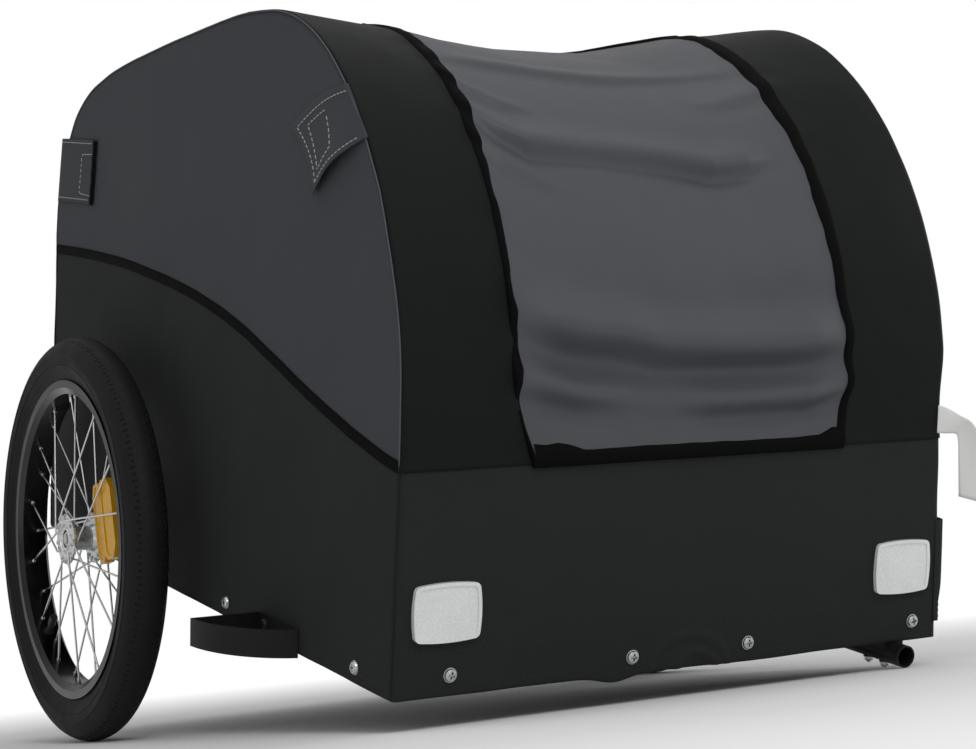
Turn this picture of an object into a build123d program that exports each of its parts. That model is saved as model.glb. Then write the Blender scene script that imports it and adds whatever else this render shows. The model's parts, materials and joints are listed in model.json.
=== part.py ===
"""Two-wheeled bicycle cargo trailer with a soft cover, parked nose-down with its tow bar off.

Everything is modelled level in the trailer's own frame: X across (+X is the trailer's left),
Y backwards from the front panel, Z up from the fabric's lower edge. The last section then turns
the whole trailer nose-down about X until the tow socket and both tyres stand on the floor, and
puts the origin on the floor under the middle of the whole.
"""
from build123d import *
import math
import os

os.makedirs("parts", exist_ok=True)

# ---------------------------------------------------------------- driving dimensions (mm, degrees)
# soft body
tub_width = 551.0            # outside the fabric at its lower edge
tub_length = 827.0
side_lean = 1.35             # each side leans in towards the roof
cloth = 1.6                  # fabric with its backing
hem_height = 183.0           # top of the black front panel
rear_seam_height = 305.0     # top of the black rear panel
roof_height = 546.0
hood_depth = 280.0           # the hood's front is a quarter ellipse this deep
apex_y = 297.0               # where the roof starts to fall towards the back
crown_radius = 540.0         # roof just behind the apex
crown_fall = 6.8             # roof slope at the end of the crown
roof_fall = 9.9              # roof slope where the shoulder begins
shoulder_radius = 583.0
shoulder_fall = 18.1         # roof slope where the rear corner begins
rear_corner_radius = 169.0
hood_end_y = 330.0           # seam across the roof between hood and roof panel
window_width = 336.0         # grey front panel between the two hood bands, over its binding
binding_width = 13.0
binding_height = 1.2
# frame
rail = 25.0                  # square steel tube
rail_wall = 1.5
skirt_drop = 3.0             # fabric hangs this much below the rails
seat_gap = 0.2               # fabric to frame
plate_gap = 0.3              # plates bolted on outside, to the fabric
board = 3.0                  # floor board
front_cross_y = 240.0        # cross rail that carries the back of the tow socket
# tow socket
socket_diameter = 20.0
socket_wall = 1.5
socket_inset = 47.5          # its axis in from the body's lower edge
socket_z = -10.3
socket_reach = 16.0          # ahead of the front panel
socket_overlap = 12.0        # past the middle of the front cross rail
saddle_width = 22.0
# wheels
tyre_diameter = 400.0
tyre_width = 42.5
tyre_wall = 3.5
wheel_offset = 50.0          # middle of the wheel out from the body's lower edge
axle_y = 583.0
axle_z = 32.0
camber = 1.5                 # wheel tops lean in
rim_diameter = 315.0
rim_width = 32.0
rim_depth = 13.5
rim_wall = 4.5
spoke_count = 28
spoke_diameter = 2.0
spoke_cross = 2              # each spoke crosses this many others of its flange
nipple_diameter = 4.2
nipple_length = 14.0
flange_diameter = 50.0
flange_spacing = 29.0
flange_thickness = 3.0
spoke_circle = 42.0
spoke_lift = 1.3             # more room where a spoke leans back over its flange's edge
barrel_diameter = 24.0
hub_inboard = 24.0           # middle of the hub to its inboard end
hub_end_diameter = 26.0
dish_depth = 2.2             # ring groove in the outboard flange's face
dish_diameter = 30.0
dish_ring = 3.0              # width of the groove
dish_chamfer = 0.7           # on the groove's and the pocket's edges
cup_diameter = 17.6          # pocket that holds the axle nut
cup_depth = 7.0
axle_diameter = 10.0
running_gap = 0.05           # radial, hub on axle and axle in its receiver
hub_end_gap = 0.4            # along the axle, hub to collar and nut
axle_nut = 14.0              # across flats
axle_nut_height = 5.0
axle_tail = 1.6              # axle end past its nut
receiver_diameter = 22.0
receiver_length = 14.0
bracket_length = 96.0
bracket_height = 52.0
bracket_plate = 4.0
bracket_bottom = 2.0
valve_angle = -52.0
valve_reach = 24.0
valve_diameter = 8.0
lens_size = (78.0, 50.0, 11.0)     # spoke reflector: along its tangent, along the radius, thick
lens_edge = 7.0              # its thickness along the two long edges
lens_notch = 5.0             # how far the two lobes part at their ends
lens_rake = 7.0              # outer corners, cut back along the ends ...
lens_taper = 12.0            # ... and along the long edges
lens_corner = 2.5
lens_rib = 2.0               # bar between the two lobes
lens_frame = 3.2             # frame round each sunk panel
lens_sunk = 1.0
lens_radius = 80.0
lens_angle = 158.0
# guards, reflectors and tabs
guard_front_y = 175.0
guard_rear_y = 254.0
guard_reach = 66.0
guard_height = 24.5
guard_drop = 3.5
guard_wall = 2.5
reflector_size = (61.0, 48.0, 5.0)
reflector_inset = 45.5       # its middle in from the body's lower edge
reflector_z = 68.5
reflector_rim = 3.0
tab_cloth = 2.0
rear_tab_z = 390.0
rear_tab_width = 68.0
rear_tab_side = 100.0        # length along the side
rear_tab_back = 45.0         # length across the back
sleeve_height = 94.0
sleeve_z = 16.0
sleeve_length = 40.0
sleeve_bulge = 9.0

# ---------------------------------------------------------------- worked-out values
lean_rate = math.tan(math.radians(side_lean))
FAR = 2000.0


def half_width(z, inset=0.0):
    """Half the body's width at height z, inset from its outer face."""
    return tub_width / 2 - lean_rate * z - inset


wheel_x = tub_width / 2 + wheel_offset
socket_x = tub_width / 2 - socket_inset
reflector_x = tub_width / 2 - reflector_inset
rail_z = skirt_drop + rail / 2
rail_top = skirt_drop + rail
rail_outer = half_width(rail_top, cloth + seat_gap)
rail_front = cloth + seat_gap
rail_back = tub_length - cloth - seat_gap


# ---------------------------------------------------------------- soft body
def roof_arcs():
    """The roof behind the apex: each arc's radius and the slopes, in degrees, that it runs between."""
    def reach(radius, start, end):
        return radius * (math.sin(math.radians(end)) - math.sin(math.radians(start)))

    ends = (reach(crown_radius, 0, crown_fall) + reach(shoulder_radius, roof_fall, shoulder_fall)
            + reach(rear_corner_radius, shoulder_fall, 90))
    middle = (tub_length - apex_y - ends) / reach(1.0, crown_fall, roof_fall)
    return [(crown_radius, 0.0, crown_fall), (middle, crown_fall, roof_fall),
            (shoulder_radius, roof_fall, shoulder_fall), (rear_corner_radius, shoulder_fall, 90.0)]


def side_profile(inset=0.0):
    """The body's outline seen from the side, inset by a cloth thickness."""
    bottom = -FAR if inset else 0.0
    edges = [
        Line((inset, bottom), (inset, hem_height)),
        EllipticalCenterArc((hood_depth, hem_height), hood_depth - inset,
                            roof_height - hem_height - inset, 90, arc_size=90),
        Line((hood_depth, roof_height - inset), (apex_y, roof_height - inset)),
    ]
    y, z = apex_y, roof_height
    for radius, start, end in roof_arcs():
        a, b = math.radians(start), math.radians(end)
        centre = (y - radius * math.sin(a), z - radius * math.cos(a))
        edges.append(CenterArc(centre, radius - inset, 90 - end, end - start))
        y, z = centre[0] + radius * math.sin(b), centre[1] + radius * math.cos(b)
    back = tub_length - inset
    edges.append(Line((back, z), (back, bottom)))
    edges.append(Line((back, bottom), (inset, bottom)))
    return Plane.YZ * make_face(edges)


def across(face):
    """A side outline carried across the whole width."""
    return extrude(face, amount=FAR, both=True)


def between_sides(inset):
    """The space between the two leaning side planes, inset from them."""
    low, high = -100.0, roof_height + 100.0
    outline = Polyline((-half_width(low, inset), low), (half_width(low, inset), low),
                       (half_width(high, inset), high), (-half_width(high, inset), high),
                       close=True)
    return extrude(Plane.XZ * make_face(outline), amount=FAR, both=True)


def slab(x=(-FAR, FAR), y=(-FAR, FAR), z=(-FAR, FAR)):
    """A box between the given limits, open ended where none are given."""
    size = (x[1] - x[0], y[1] - y[0], z[1] - z[0])
    return Pos((x[0] + x[1]) / 2, (y[0] + y[1]) / 2, (z[0] + z[1]) / 2) * Box(*size)


def below_side_seam():
    """Everything below the curved seam between the black and the grey side cloth."""
    seam = Spline((0, hem_height), (75, 195), (254, 245), (400, 281), (520, 299),
                  (tub_length, rear_seam_height), tangents=((1, 0.08), (1, -0.01)))
    edges = [seam, Line((tub_length, rear_seam_height), (tub_length, -50.0)),
             Line((tub_length, -50.0), (0, -50.0)), Line((0, -50.0), (0, hem_height))]
    return across(Plane.YZ * make_face(edges))


def make_cover():
    """The cloth panels, split where the real ones are sewn together."""
    outside = across(side_profile())
    sides = (outside & between_sides(0.0)) - between_sides(cloth)
    skin = (outside - across(side_profile(cloth))) & between_sides(cloth)
    seam = below_side_seam()
    half_window = window_width / 2
    hood = skin & slab(y=(-FAR, hood_end_y), z=(hem_height, FAR))
    parts = {
        "side_panel_right": sides & seam & slab(x=(-FAR, 0)),
        "side_panel_left": sides & seam & slab(x=(0, FAR)),
        "cover_side_right": (sides - seam) & slab(x=(-FAR, 0)),
        "cover_side_left": (sides - seam) & slab(x=(0, FAR)),
        "front_panel": skin & slab(y=(-FAR, apex_y), z=(-FAR, hem_height)),
        "rear_panel": skin & slab(y=(apex_y, FAR), z=(-FAR, rear_seam_height)),
        "hood_band_right": hood & slab(x=(-FAR, -half_window)),
        "hood_band_left": hood & slab(x=(half_window, FAR)),
        "window_panel": hood & slab(x=(-half_window, half_window)),
        "roof_panel": skin & slab(y=(hood_end_y, FAR), z=(rear_seam_height, FAR)),
    }
    raised = across(side_profile(-binding_height)) - outside
    ring = raised & slab(x=(-half_window, half_window), y=(-FAR, hood_end_y), z=(hem_height, FAR))
    inner = half_window - binding_width
    parts["window_binding"] = ring - slab(x=(-inner, inner), z=(hem_height + binding_width, FAR))
    return parts


def make_tabs():
    """Cloth tabs that tie the cover down at the hood seam and round the rear edges."""
    corners = [(125, 478), (219, 452), (172, 391), (77, 441)]
    wall = extrude(Plane.YZ * make_face(Polyline(*corners, close=True)), amount=FAR, both=True)
    skin = between_sides(-tab_cloth) - between_sides(0.0)
    back = tub_length + tab_cloth
    level = slab(y=(tub_length - rear_tab_side, back),
                 z=(rear_tab_z - rear_tab_width / 2, rear_tab_z + rear_tab_width / 2))
    wrap = across(side_profile(-tab_cloth)) & between_sides(-tab_cloth)
    wrap -= across(side_profile()) & between_sides(0.0)
    inner = half_width(rear_tab_z) - rear_tab_back
    rear = (wrap & level) - slab(x=(-inner, inner))
    front = wall & skin
    parts = {}
    for name, reach in (("right", (-FAR, 0)), ("left", (0, FAR))):
        parts["front_tab_" + name] = front & slab(x=reach)
        parts["rear_tab_" + name] = rear & slab(x=reach)
    return parts


def make_sleeve():
    """A small sewn sleeve low on the left side, just behind the front corner."""
    outline = [Line((2, sleeve_z + sleeve_height), (sleeve_length, sleeve_z + sleeve_height)),
               Line((sleeve_length, sleeve_z + sleeve_height), (sleeve_length, sleeve_z + 12)),
               ThreePointArc((sleeve_length, sleeve_z + 12), (sleeve_length / 2 + 8, sleeve_z),
                             (2, sleeve_z + 4)),
               Line((2, sleeve_z + 4), (2, sleeve_z + sleeve_height))]
    block = extrude(Plane.YZ * make_face(outline), amount=FAR)
    mouth = half_width(sleeve_z) + sleeve_bulge
    section = make_face([Line((0, half_width(0) - 20), (0, mouth - 4)),
                         ThreePointArc((0, mouth - 4), (sleeve_length / 2, mouth),
                                       (sleeve_length + 4, mouth - 6)),
                         Line((sleeve_length + 4, mouth - 6), (sleeve_length + 4, half_width(0) - 20)),
                         Line((sleeve_length + 4, half_width(0) - 20), (0, half_width(0) - 20))])
    swell = extrude(Plane((0, 0, 0), x_dir=(0, 1, 0), z_dir=(0, 0, -1)) * section, amount=FAR, both=True)
    return {"side_sleeve": (block & swell) - between_sides(0.0)}


# ---------------------------------------------------------------- frame
def square_tube(length, along):
    """Square tube centred on the origin, running along X or Y."""
    bore = rail - 2 * rail_wall
    if along == "X":
        return Box(length, rail, rail) - Box(length, bore, bore)
    return Box(rail, length, rail) - Box(bore, length, bore)


def make_frame():
    parts = {}
    side_x = rail_outer - rail / 2
    length = rail_back - rail_front
    middle_y = (rail_front + rail_back) / 2
    inner_width = 2 * (rail_outer - rail)
    for name, sign in (("right", -1), ("left", 1)):
        tube = square_tube(length, "Y")
        parts["side_rail_" + name] = Pos(sign * side_x, middle_y, rail_z) * tube
    cross = {"front_rail": rail_front + rail / 2, "front_cross_rail": front_cross_y,
             "axle_cross_rail": axle_y, "rear_rail": rail_back - rail / 2}
    for name, y in cross.items():
        parts[name] = Pos(0, y, rail_z) * square_tube(inner_width, "X")
    top = rail_top + board
    edge = 1.0
    parts["floor_board"] = slab(x=(-half_width(top, cloth + edge), half_width(top, cloth + edge)),
                                y=(cloth + edge, tub_length - cloth - edge), z=(rail_top, top))
    return parts


def make_socket():
    """The tow bar's socket tube under the left of the frame, in two saddles."""
    end = front_cross_y + socket_overlap
    length = end + socket_reach
    radius = socket_diameter / 2
    tube = Cylinder(radius, length) - Cylinder(radius - socket_wall, length)
    axis = Pos(socket_x, (end - socket_reach) / 2, socket_z) * Rot(90, 0, 0)
    saddle = slab(x=(socket_x - saddle_width / 2, socket_x + saddle_width / 2),
                  z=(socket_z + radius / 3, skirt_drop))
    bed = Pos(socket_x, 0, socket_z) * Rot(90, 0, 0) * Cylinder(radius, FAR)
    half = rail / 2
    return {
        "tow_socket": axis * tube,
        "socket_saddle_front": (saddle & slab(y=(rail_front, rail_front + rail))) - bed,
        "socket_saddle_rear": (saddle & slab(y=(front_cross_y - half, front_cross_y + half))) - bed,
    }


def make_guard():
    """The right wheel guard: a bent strip, flat against the side and bowed outwards."""
    wall_x = -half_width(0) - plate_gap
    tip = (wall_x - guard_reach, guard_rear_y)
    bow = (wall_x - 0.64 * guard_reach, guard_front_y + 0.34 * (guard_rear_y - guard_front_y))
    outline = [Line((wall_x, guard_rear_y), tip),
               ThreePointArc(tip, bow, (wall_x, guard_front_y)),
               Line((wall_x, guard_front_y), (wall_x, guard_rear_y))]
    face = make_face(outline)
    strip = extrude(face, amount=guard_height) - extrude(offset(face, -guard_wall), amount=guard_height)
    return Pos(0, 0, -guard_drop) * strip


def barrel_outline(w, h, bulge, corner):
    """A rounded rectangle of half sizes w and h whose four edges bulge a little."""
    x, z = w - bulge, h - bulge
    edges = [ThreePointArc((-x, z), (0, h), (x, z)), ThreePointArc((x, z), (w, 0), (x, -z)),
             ThreePointArc((x, -z), (0, -h), (-x, -z)), ThreePointArc((-x, -z), (-w, 0), (-x, z))]
    face = make_face(edges)
    return fillet(face.vertices(), corner)


def make_reflector():
    """A moulded lens with a raised rim and slightly bulging edges, its back on Y = 0."""
    width, height, depth = reflector_size
    rim, sunk = reflector_rim, 1.0
    body = extrude(Plane.XZ * barrel_outline(width / 2, height / 2, 2.0, 5.0), amount=depth)
    window = extrude(Plane.XZ * barrel_outline(width / 2 - rim, height / 2 - rim, 1.8, 3.0), amount=sunk)
    return body - Pos(0, sunk - depth, 0) * window


# ---------------------------------------------------------------- wheel, about its own axle along X
def wheel_section(points):
    """A closed outline of (along the axle, radius) points, turned about the axle."""
    return revolve(make_face(Polyline(*points, close=True)), Axis.X)


def make_tyre():
    radius = tyre_width / 2
    centre = tyre_diameter / 2 - radius
    bead = rim_diameter / 2 - 4.3
    foot = math.radians(-50)
    outer_foot = (radius * math.cos(foot), centre + radius * math.sin(foot))
    inside = radius - tyre_wall
    inner_foot = (inside * math.cos(foot), centre + inside * math.sin(foot))
    lip = rim_width / 2 - 3.6
    edges = [ThreePointArc(outer_foot, (0, centre + radius), (-outer_foot[0], outer_foot[1])),
             Line((-outer_foot[0], outer_foot[1]), (-lip, bead)),
             Line((-lip, bead), (-lip + tyre_wall, bead)),
             Line((-lip + tyre_wall, bead), (-inner_foot[0], inner_foot[1])),
             ThreePointArc((-inner_foot[0], inner_foot[1]), (0, centre + inside), inner_foot),
             Line(inner_foot, (lip - tyre_wall, bead)),
             Line((lip - tyre_wall, bead), (lip, bead)),
             Line((lip, bead), outer_foot)]
    return revolve(make_face(edges), Axis.X)


rim_top = rim_diameter / 2
rim_inner = rim_top - rim_depth


def make_rim(spoke_lines):
    w = rim_width / 2
    seat = rim_top - 4.7
    floor = rim_inner + rim_wall
    half = [(w, rim_top), (w - 1.8, rim_top), (w - 2.4, seat), (w - 8, seat - 0.8), (w - 10, floor)]
    back = [(w - 4, rim_inner), (w, rim_top - 7.5)]
    mirrored = [(-x, r) for x, r in reversed(half)]
    back_mirrored = [(-x, r) for x, r in reversed(back)]
    section = half + mirrored + back_mirrored + back
    rim = wheel_section(section)
    holes = [rod(start, end, nipple_diameter / 2 + 0.4, 30.0, from_end=True)
             for start, end in spoke_lines]
    holes.append(rod(polar(0, rim_inner - 5, valve_angle), polar(0, rim_top, valve_angle),
                     valve_diameter / 2))
    return rim - holes


def rod(start, end, radius, length=None, from_end=False):
    """A round bar from start towards end, or its last stretch carried past the end."""
    a, b = Vector(*start), Vector(*end)
    direction = (b - a).normalized()
    if from_end:
        return Solid.make_cylinder(radius, length, Plane(b - direction * (length / 2), z_dir=direction))
    return Solid.make_cylinder(radius, (b - a).length, Plane(a, z_dir=direction))


def polar(x, radius, degrees):
    angle = math.radians(degrees)
    return (x, radius * math.cos(angle), radius * math.sin(angle))


def lace():
    """Where each spoke starts at the hub and ends at the rim, with its flange and its side of it."""
    per_flange = spoke_count // 2
    pitch = 360.0 / per_flange
    first = valve_angle + pitch / 4
    lift = flange_thickness / 2 + spoke_diameter / 2 + 0.15
    lines = []
    for side in (-1, 1):
        flange_x = side * flange_spacing / 2
        shift = first + (pitch / 2 if side > 0 else 0.0)
        for i in range(per_flange):
            turn = 1 if i % 2 == 0 else -1
            hub_angle = i * pitch + shift
            face = side * turn
            stand = lift + (spoke_lift if face == side else 0.0)
            start = polar(flange_x + face * stand, spoke_circle / 2, hub_angle)
            end = polar(side * 3.0, rim_inner + rim_wall / 2, hub_angle + turn * spoke_cross * pitch)
            lines.append((start, end, flange_x, face))
    return lines


def make_spokes(lines):
    """Spokes with their hub elbows and heads and their nipples, one solid each."""
    radius = spoke_diameter / 2
    bars = []
    for start, end, flange_x, face in lines:
        head_x = flange_x - face * (flange_thickness / 2 + 0.3)
        tip_x = head_x - face * 1.2
        elbow = rod(start, (tip_x, start[1], start[2]), radius)
        head = rod((head_x, start[1], start[2]), (tip_x, start[1], start[2]), 1.9 * radius)
        bend = Pos(*start) * Sphere(1.04 * radius)
        nipple = rod(start, end, nipple_diameter / 2, nipple_length, from_end=True)
        bars.append(rod(start, end, radius) + bend + elbow + head + nipple)
    return Compound(children=[bar.solid() for bar in bars])


def make_hub(lines):
    """Flanged hub: a long inboard end, and outboard a grooved face with a cup for the axle nut."""
    f, t = flange_spacing / 2, flange_thickness / 2
    end, barrel, flange = hub_end_diameter / 2, barrel_diameter / 2, flange_diameter / 2
    bore = axle_diameter / 2 + running_gap
    cup, groove = cup_diameter / 2, dish_diameter / 2
    inboard = [(hub_inboard, bore), (hub_inboard, end - 2), (hub_inboard - 2, end), (f + t, end),
               (f + t, flange - 1), (f + t - 1, flange), (f - t, flange), (f - t, barrel + 2),
               (f - t - 4, barrel)]
    outboard = [(-f + t + 4, barrel), (-f + t, barrel + 2), (-f + t, flange), (-f - t + 1, flange),
                (-f - t, flange - 1), (-f - t, groove), (-f - t + dish_depth, groove - dish_chamfer),
                (-f - t + dish_depth, groove - dish_ring),
                (-f - t, groove - dish_ring - dish_chamfer), (-f - t, cup + dish_chamfer),
                (-f - t + dish_chamfer, cup), (-f - t + cup_depth, cup), (-f - t + cup_depth, bore)]
    hub = wheel_section(inboard + outboard)
    holes = [rod((flange_x - 3 * face, start[1], start[2]), (flange_x + 3 * face, start[1], start[2]),
                 spoke_diameter / 2 + 0.15) for start, end_, flange_x, face in lines]
    return hub - holes


def make_valve():
    """Valve stem with its cap, standing in from the rim."""
    outer = polar(0, rim_inner + rim_wall, valve_angle)
    inner = polar(0, rim_inner - valve_reach, valve_angle)
    cap = polar(0, rim_inner - valve_reach + 11, valve_angle)
    collar = polar(0, rim_inner - 2.5, valve_angle)
    stem = rod(outer, cap, valve_diameter / 2 - 0.9)
    return stem + rod(cap, inner, valve_diameter / 2) + rod(polar(0, rim_inner - 0.2, valve_angle),
                                                            collar, valve_diameter / 2 + 1.0)


def lens_lobe(inset=0.0):
    """One half of the spoke reflector's outline, out from its middle line, on the YZ plane."""
    length, depth, _ = lens_size
    low, high = inset, depth / 2 - inset
    half = length / 2 - inset
    notch = half - lens_notch
    points = [(low, -notch), (low + lens_notch, -half), (high - lens_rake, -half),
              (high, -half + lens_taper), (high, half - lens_taper), (high - lens_rake, half),
              (low + lens_notch, half), (low, notch)]
    face = make_face(Polyline(*points, close=True))
    return Plane.YZ * fillet(face.vertices(), lens_corner)


def make_spoke_reflector():
    """Amber lens between the spoke rows: two lobes that fall away from a middle rib, panels sunk in."""
    length, depth, thick = lens_size
    wedge = make_face(Polyline((-thick / 2, 0), (-lens_edge / 2, depth / 2), (lens_edge / 2, depth / 2),
                               (thick / 2, 0), close=True))
    wedge = extrude(wedge, amount=length / 2, both=True)
    lobe = wedge & extrude(lens_lobe(), amount=thick, both=True)
    window = extrude(lens_lobe(lens_frame), amount=thick, both=True)
    slope = (thick - lens_edge) / depth
    for face in (-1, 1):
        tilt = Rot(0, 0, face * math.degrees(math.atan(slope)))
        sunk = Pos(face * (thick / 2 - lens_sunk), 0, 0) * tilt * Pos(face * thick / 2, 0, 0)
        lobe -= window & (sunk * Box(thick, 2 * depth, length))
    body = lobe + mirror(lobe, about=Plane.XZ)
    body += Box(thick, lens_rib, length - 4 * lens_notch)
    return Rot(lens_angle, 0, 0) * Pos(0, lens_radius, 0) * body


def make_axle():
    """Stub axle: nut in the hub's cup, collar inboard, and the shank that enters the receiver."""
    cup_floor = -flange_spacing / 2 - flange_thickness / 2 + cup_depth
    nut_face = cup_floor - hub_end_gap
    nut_end = nut_face - axle_nut_height
    collar_face = hub_inboard + hub_end_gap
    shank = Solid.make_cylinder(axle_diameter / 2, bracket_inner - nut_end + axle_tail,
                                Plane((nut_end - axle_tail, 0, 0), z_dir=(1, 0, 0)))
    seat = Plane((nut_face, 0, 0), z_dir=(-1, 0, 0))
    nut = extrude(seat * RegularPolygon(axle_nut / 2, 6, major_radius=False), amount=axle_nut_height)
    collar = Solid.make_cylinder(axle_diameter * 0.75, receiver_face - collar_face - 0.2,
                                 Plane((collar_face, 0, 0), z_dir=(1, 0, 0)))
    return nut + shank + collar


# along the axle from the wheel's middle, inboard positive
bracket_inner = wheel_x - half_width(bracket_bottom) - plate_gap
bracket_outer = bracket_inner - bracket_plate
receiver_face = bracket_outer - receiver_length


def seat_wheel(shape):
    """From the wheel's own frame to the right side of the trailer."""
    return Pos(-wheel_x, axle_y, axle_z) * Rot(0, camber, 0) * shape


def make_bracket():
    """Plate against the side cloth, with the receiver tube that holds the stub axle."""
    plate_x = -wheel_x + bracket_inner
    outline = RectangleRounded(bracket_length, bracket_height, 8.0)
    plate = extrude(Plane.YZ * outline, amount=-bracket_plate)
    plate = Pos(plate_x, axle_y, bracket_height / 2 + bracket_bottom) * plate
    tube = Solid.make_cylinder(receiver_diameter / 2, receiver_length + bracket_plate / 2,
                               Plane((receiver_face, 0, 0), z_dir=(1, 0, 0)))
    bore = Solid.make_cylinder(axle_diameter / 2 + running_gap, 80.0,
                               Plane((receiver_face - 10, 0, 0), z_dir=(1, 0, 0)))
    return (plate + seat_wheel(tube)) - seat_wheel(bore)


# ---------------------------------------------------------------- assembly in the level frame
nodes = {}
nodes.update(make_frame())
nodes.update(make_socket())
nodes.update(make_cover())
nodes.update(make_tabs())
nodes.update(make_sleeve())

lens = make_reflector()
for row, y, turn in (("front", 0.0, 0), ("rear", tub_length, 180)):
    for name, sign in (("right", -1), ("left", 1)):
        nodes[row + "_reflector_" + name] = Pos(sign * reflector_x, y, reflector_z) * Rot(0, 0, turn) * lens

spoke_lines = lace()
ends = [(start, end) for start, end, flange_x, face in spoke_lines]
right_side = {
    "tyre": seat_wheel(make_tyre()),
    "rim": seat_wheel(make_rim(ends)),
    "hub": seat_wheel(make_hub(spoke_lines)),
    "spokes": seat_wheel(make_spokes(spoke_lines)),
    "spoke_reflector": seat_wheel(make_spoke_reflector()),
    "valve": seat_wheel(make_valve()),
    "stub_axle": seat_wheel(make_axle()),
    "axle_bracket": make_bracket(),
    "wheel_guard": make_guard(),
}
for name, shape in right_side.items():
    nodes[name + "_right"] = shape
    nodes[name + "_left"] = mirror(shape, about=Plane.YZ)

# ---------------------------------------------------------------- parking
crown_circle = tyre_diameter / 2 - tyre_width / 2
lip_y, lip_z = -socket_reach, socket_z - socket_diameter / 2
reach_y, rise_z = axle_y - lip_y, axle_z - lip_z
span = math.hypot(reach_y, rise_z)
park_tilt = 0.0
for _ in range(4):
    axis_rise = math.sin(math.radians(camber)) * math.cos(math.radians(park_tilt))
    drop = crown_circle * math.sqrt(1 - axis_rise ** 2) + tyre_width / 2
    park_tilt = math.degrees(math.asin(drop / span) - math.atan2(rise_z, reach_y))
turn = Rot(park_tilt, 0, 0)
turned = {name: turn * shape for name, shape in nodes.items()}
boxes = [shape.bounding_box() for shape in turned.values()]
middle_y = (min(box.min.Y for box in boxes) + max(box.max.Y for box in boxes)) / 2
lowest = min(box.min.Z for box in boxes)
to_floor = Pos(0, -middle_y, -lowest)


def park(location):
    return to_floor * turn * location


for name, shape in turned.items():
    export_step(to_floor * shape, "parts/" + name + ".step")

print("park tilt", round(park_tilt, 4), "shift", to_floor.position, "nodes", len(nodes))
lip = park(Pos(0, lip_y, lip_z)).position.Z
print("socket lip above the floor", round(lip, 4), "width", max(box.max.X for box in boxes) * 2)
for sign, name in ((-1, "right"), (1, "left")):
    centre = park(Pos(sign * wheel_x, axle_y, axle_z)).position
    along = park(Pos(sign * wheel_x, axle_y, axle_z) * Rot(0, -sign * camber, 0) * Pos(1, 0, 0)).position
    print(name, "wheel", centre, "axis", along - centre)
mouth = park(Pos(socket_x, lip_y, socket_z)).position
print("socket mouth", mouth, "axis", mouth - park(Pos(socket_x, lip_y + 1, socket_z)).position)
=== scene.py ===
"""Looks of a two-wheeled bicycle cargo trailer with a soft cover, parked nose-down.

The cloth and the fittings are modelled level, in the trailer's own frame (+X to its left, +Y backwards
from the front panel, +Z up from the cloth's lower edge), and are then turned to where it stands parked.
All sizes are in metres.
"""
import json
import math

import bpy
import numpy as np
from bpy.props import FloatProperty, FloatVectorProperty, IntProperty, PointerProperty
from mathutils import Matrix, Vector, noise


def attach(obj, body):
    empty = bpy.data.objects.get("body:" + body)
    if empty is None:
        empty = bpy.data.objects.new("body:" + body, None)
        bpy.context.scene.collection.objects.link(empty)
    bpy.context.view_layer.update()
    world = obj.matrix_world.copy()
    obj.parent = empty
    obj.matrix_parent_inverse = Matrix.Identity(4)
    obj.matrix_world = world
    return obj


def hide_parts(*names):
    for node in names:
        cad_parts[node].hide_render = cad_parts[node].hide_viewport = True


bl_info = {
    "name": "Bicycle Cargo Trailer",
    "version": (1, 0, 0),
    "blender": (4, 5, 0),
    "location": "View3D > Sidebar > Trailer",
    "description": "Sewn cover, wheels, fittings and studio for a parked bicycle cargo trailer",
    "category": "Add Mesh",
}

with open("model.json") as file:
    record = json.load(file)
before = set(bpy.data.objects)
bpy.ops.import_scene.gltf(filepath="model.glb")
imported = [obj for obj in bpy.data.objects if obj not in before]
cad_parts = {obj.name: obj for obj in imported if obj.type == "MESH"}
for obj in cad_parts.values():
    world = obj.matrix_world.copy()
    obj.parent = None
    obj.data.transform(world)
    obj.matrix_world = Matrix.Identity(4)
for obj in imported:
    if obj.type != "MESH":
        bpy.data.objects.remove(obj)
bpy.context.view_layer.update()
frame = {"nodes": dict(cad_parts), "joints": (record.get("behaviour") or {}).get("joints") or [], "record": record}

CHASSIS = "chassis"
SIDES = (("right", -1), ("left", 1))

# the parked frame, from the tow bar socket: its mouth in the level frame, and its packed place and axis
SOCKET_MOUTH = Vector((0.228, -0.016, -0.0103))
socket_mount = next(m for m in frame["record"]["mounts"] if m["name"] == "tow_socket")
park_tilt = math.atan2(-socket_mount["axis"][2], -socket_mount["axis"][1])
park_turn = Matrix.Rotation(park_tilt, 4, "X")
PARK = Matrix.Translation(Vector(socket_mount["pos_m"]) - park_turn @ SOCKET_MOUTH) @ park_turn

# body outline, the same values as the solid cover's
HALF_BASE = 0.2755
LEAN = math.tan(math.radians(1.35))
LENGTH = 0.827
HEM = 0.183
REAR_SEAM = 0.305
ROOF = 0.546
HOOD_DEPTH = 0.280
APEX_Y = 0.297
# the roof behind the apex: each arc's radius and the slope where it ends; the open one joins the others
ROOF_ARCS = ((0.540, 6.8), (None, 9.9), (0.583, 18.1), (0.169, 90.0))
HOOD_END = 0.330
WINDOW_HALF = 0.168
CLOTH = 0.0016


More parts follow.
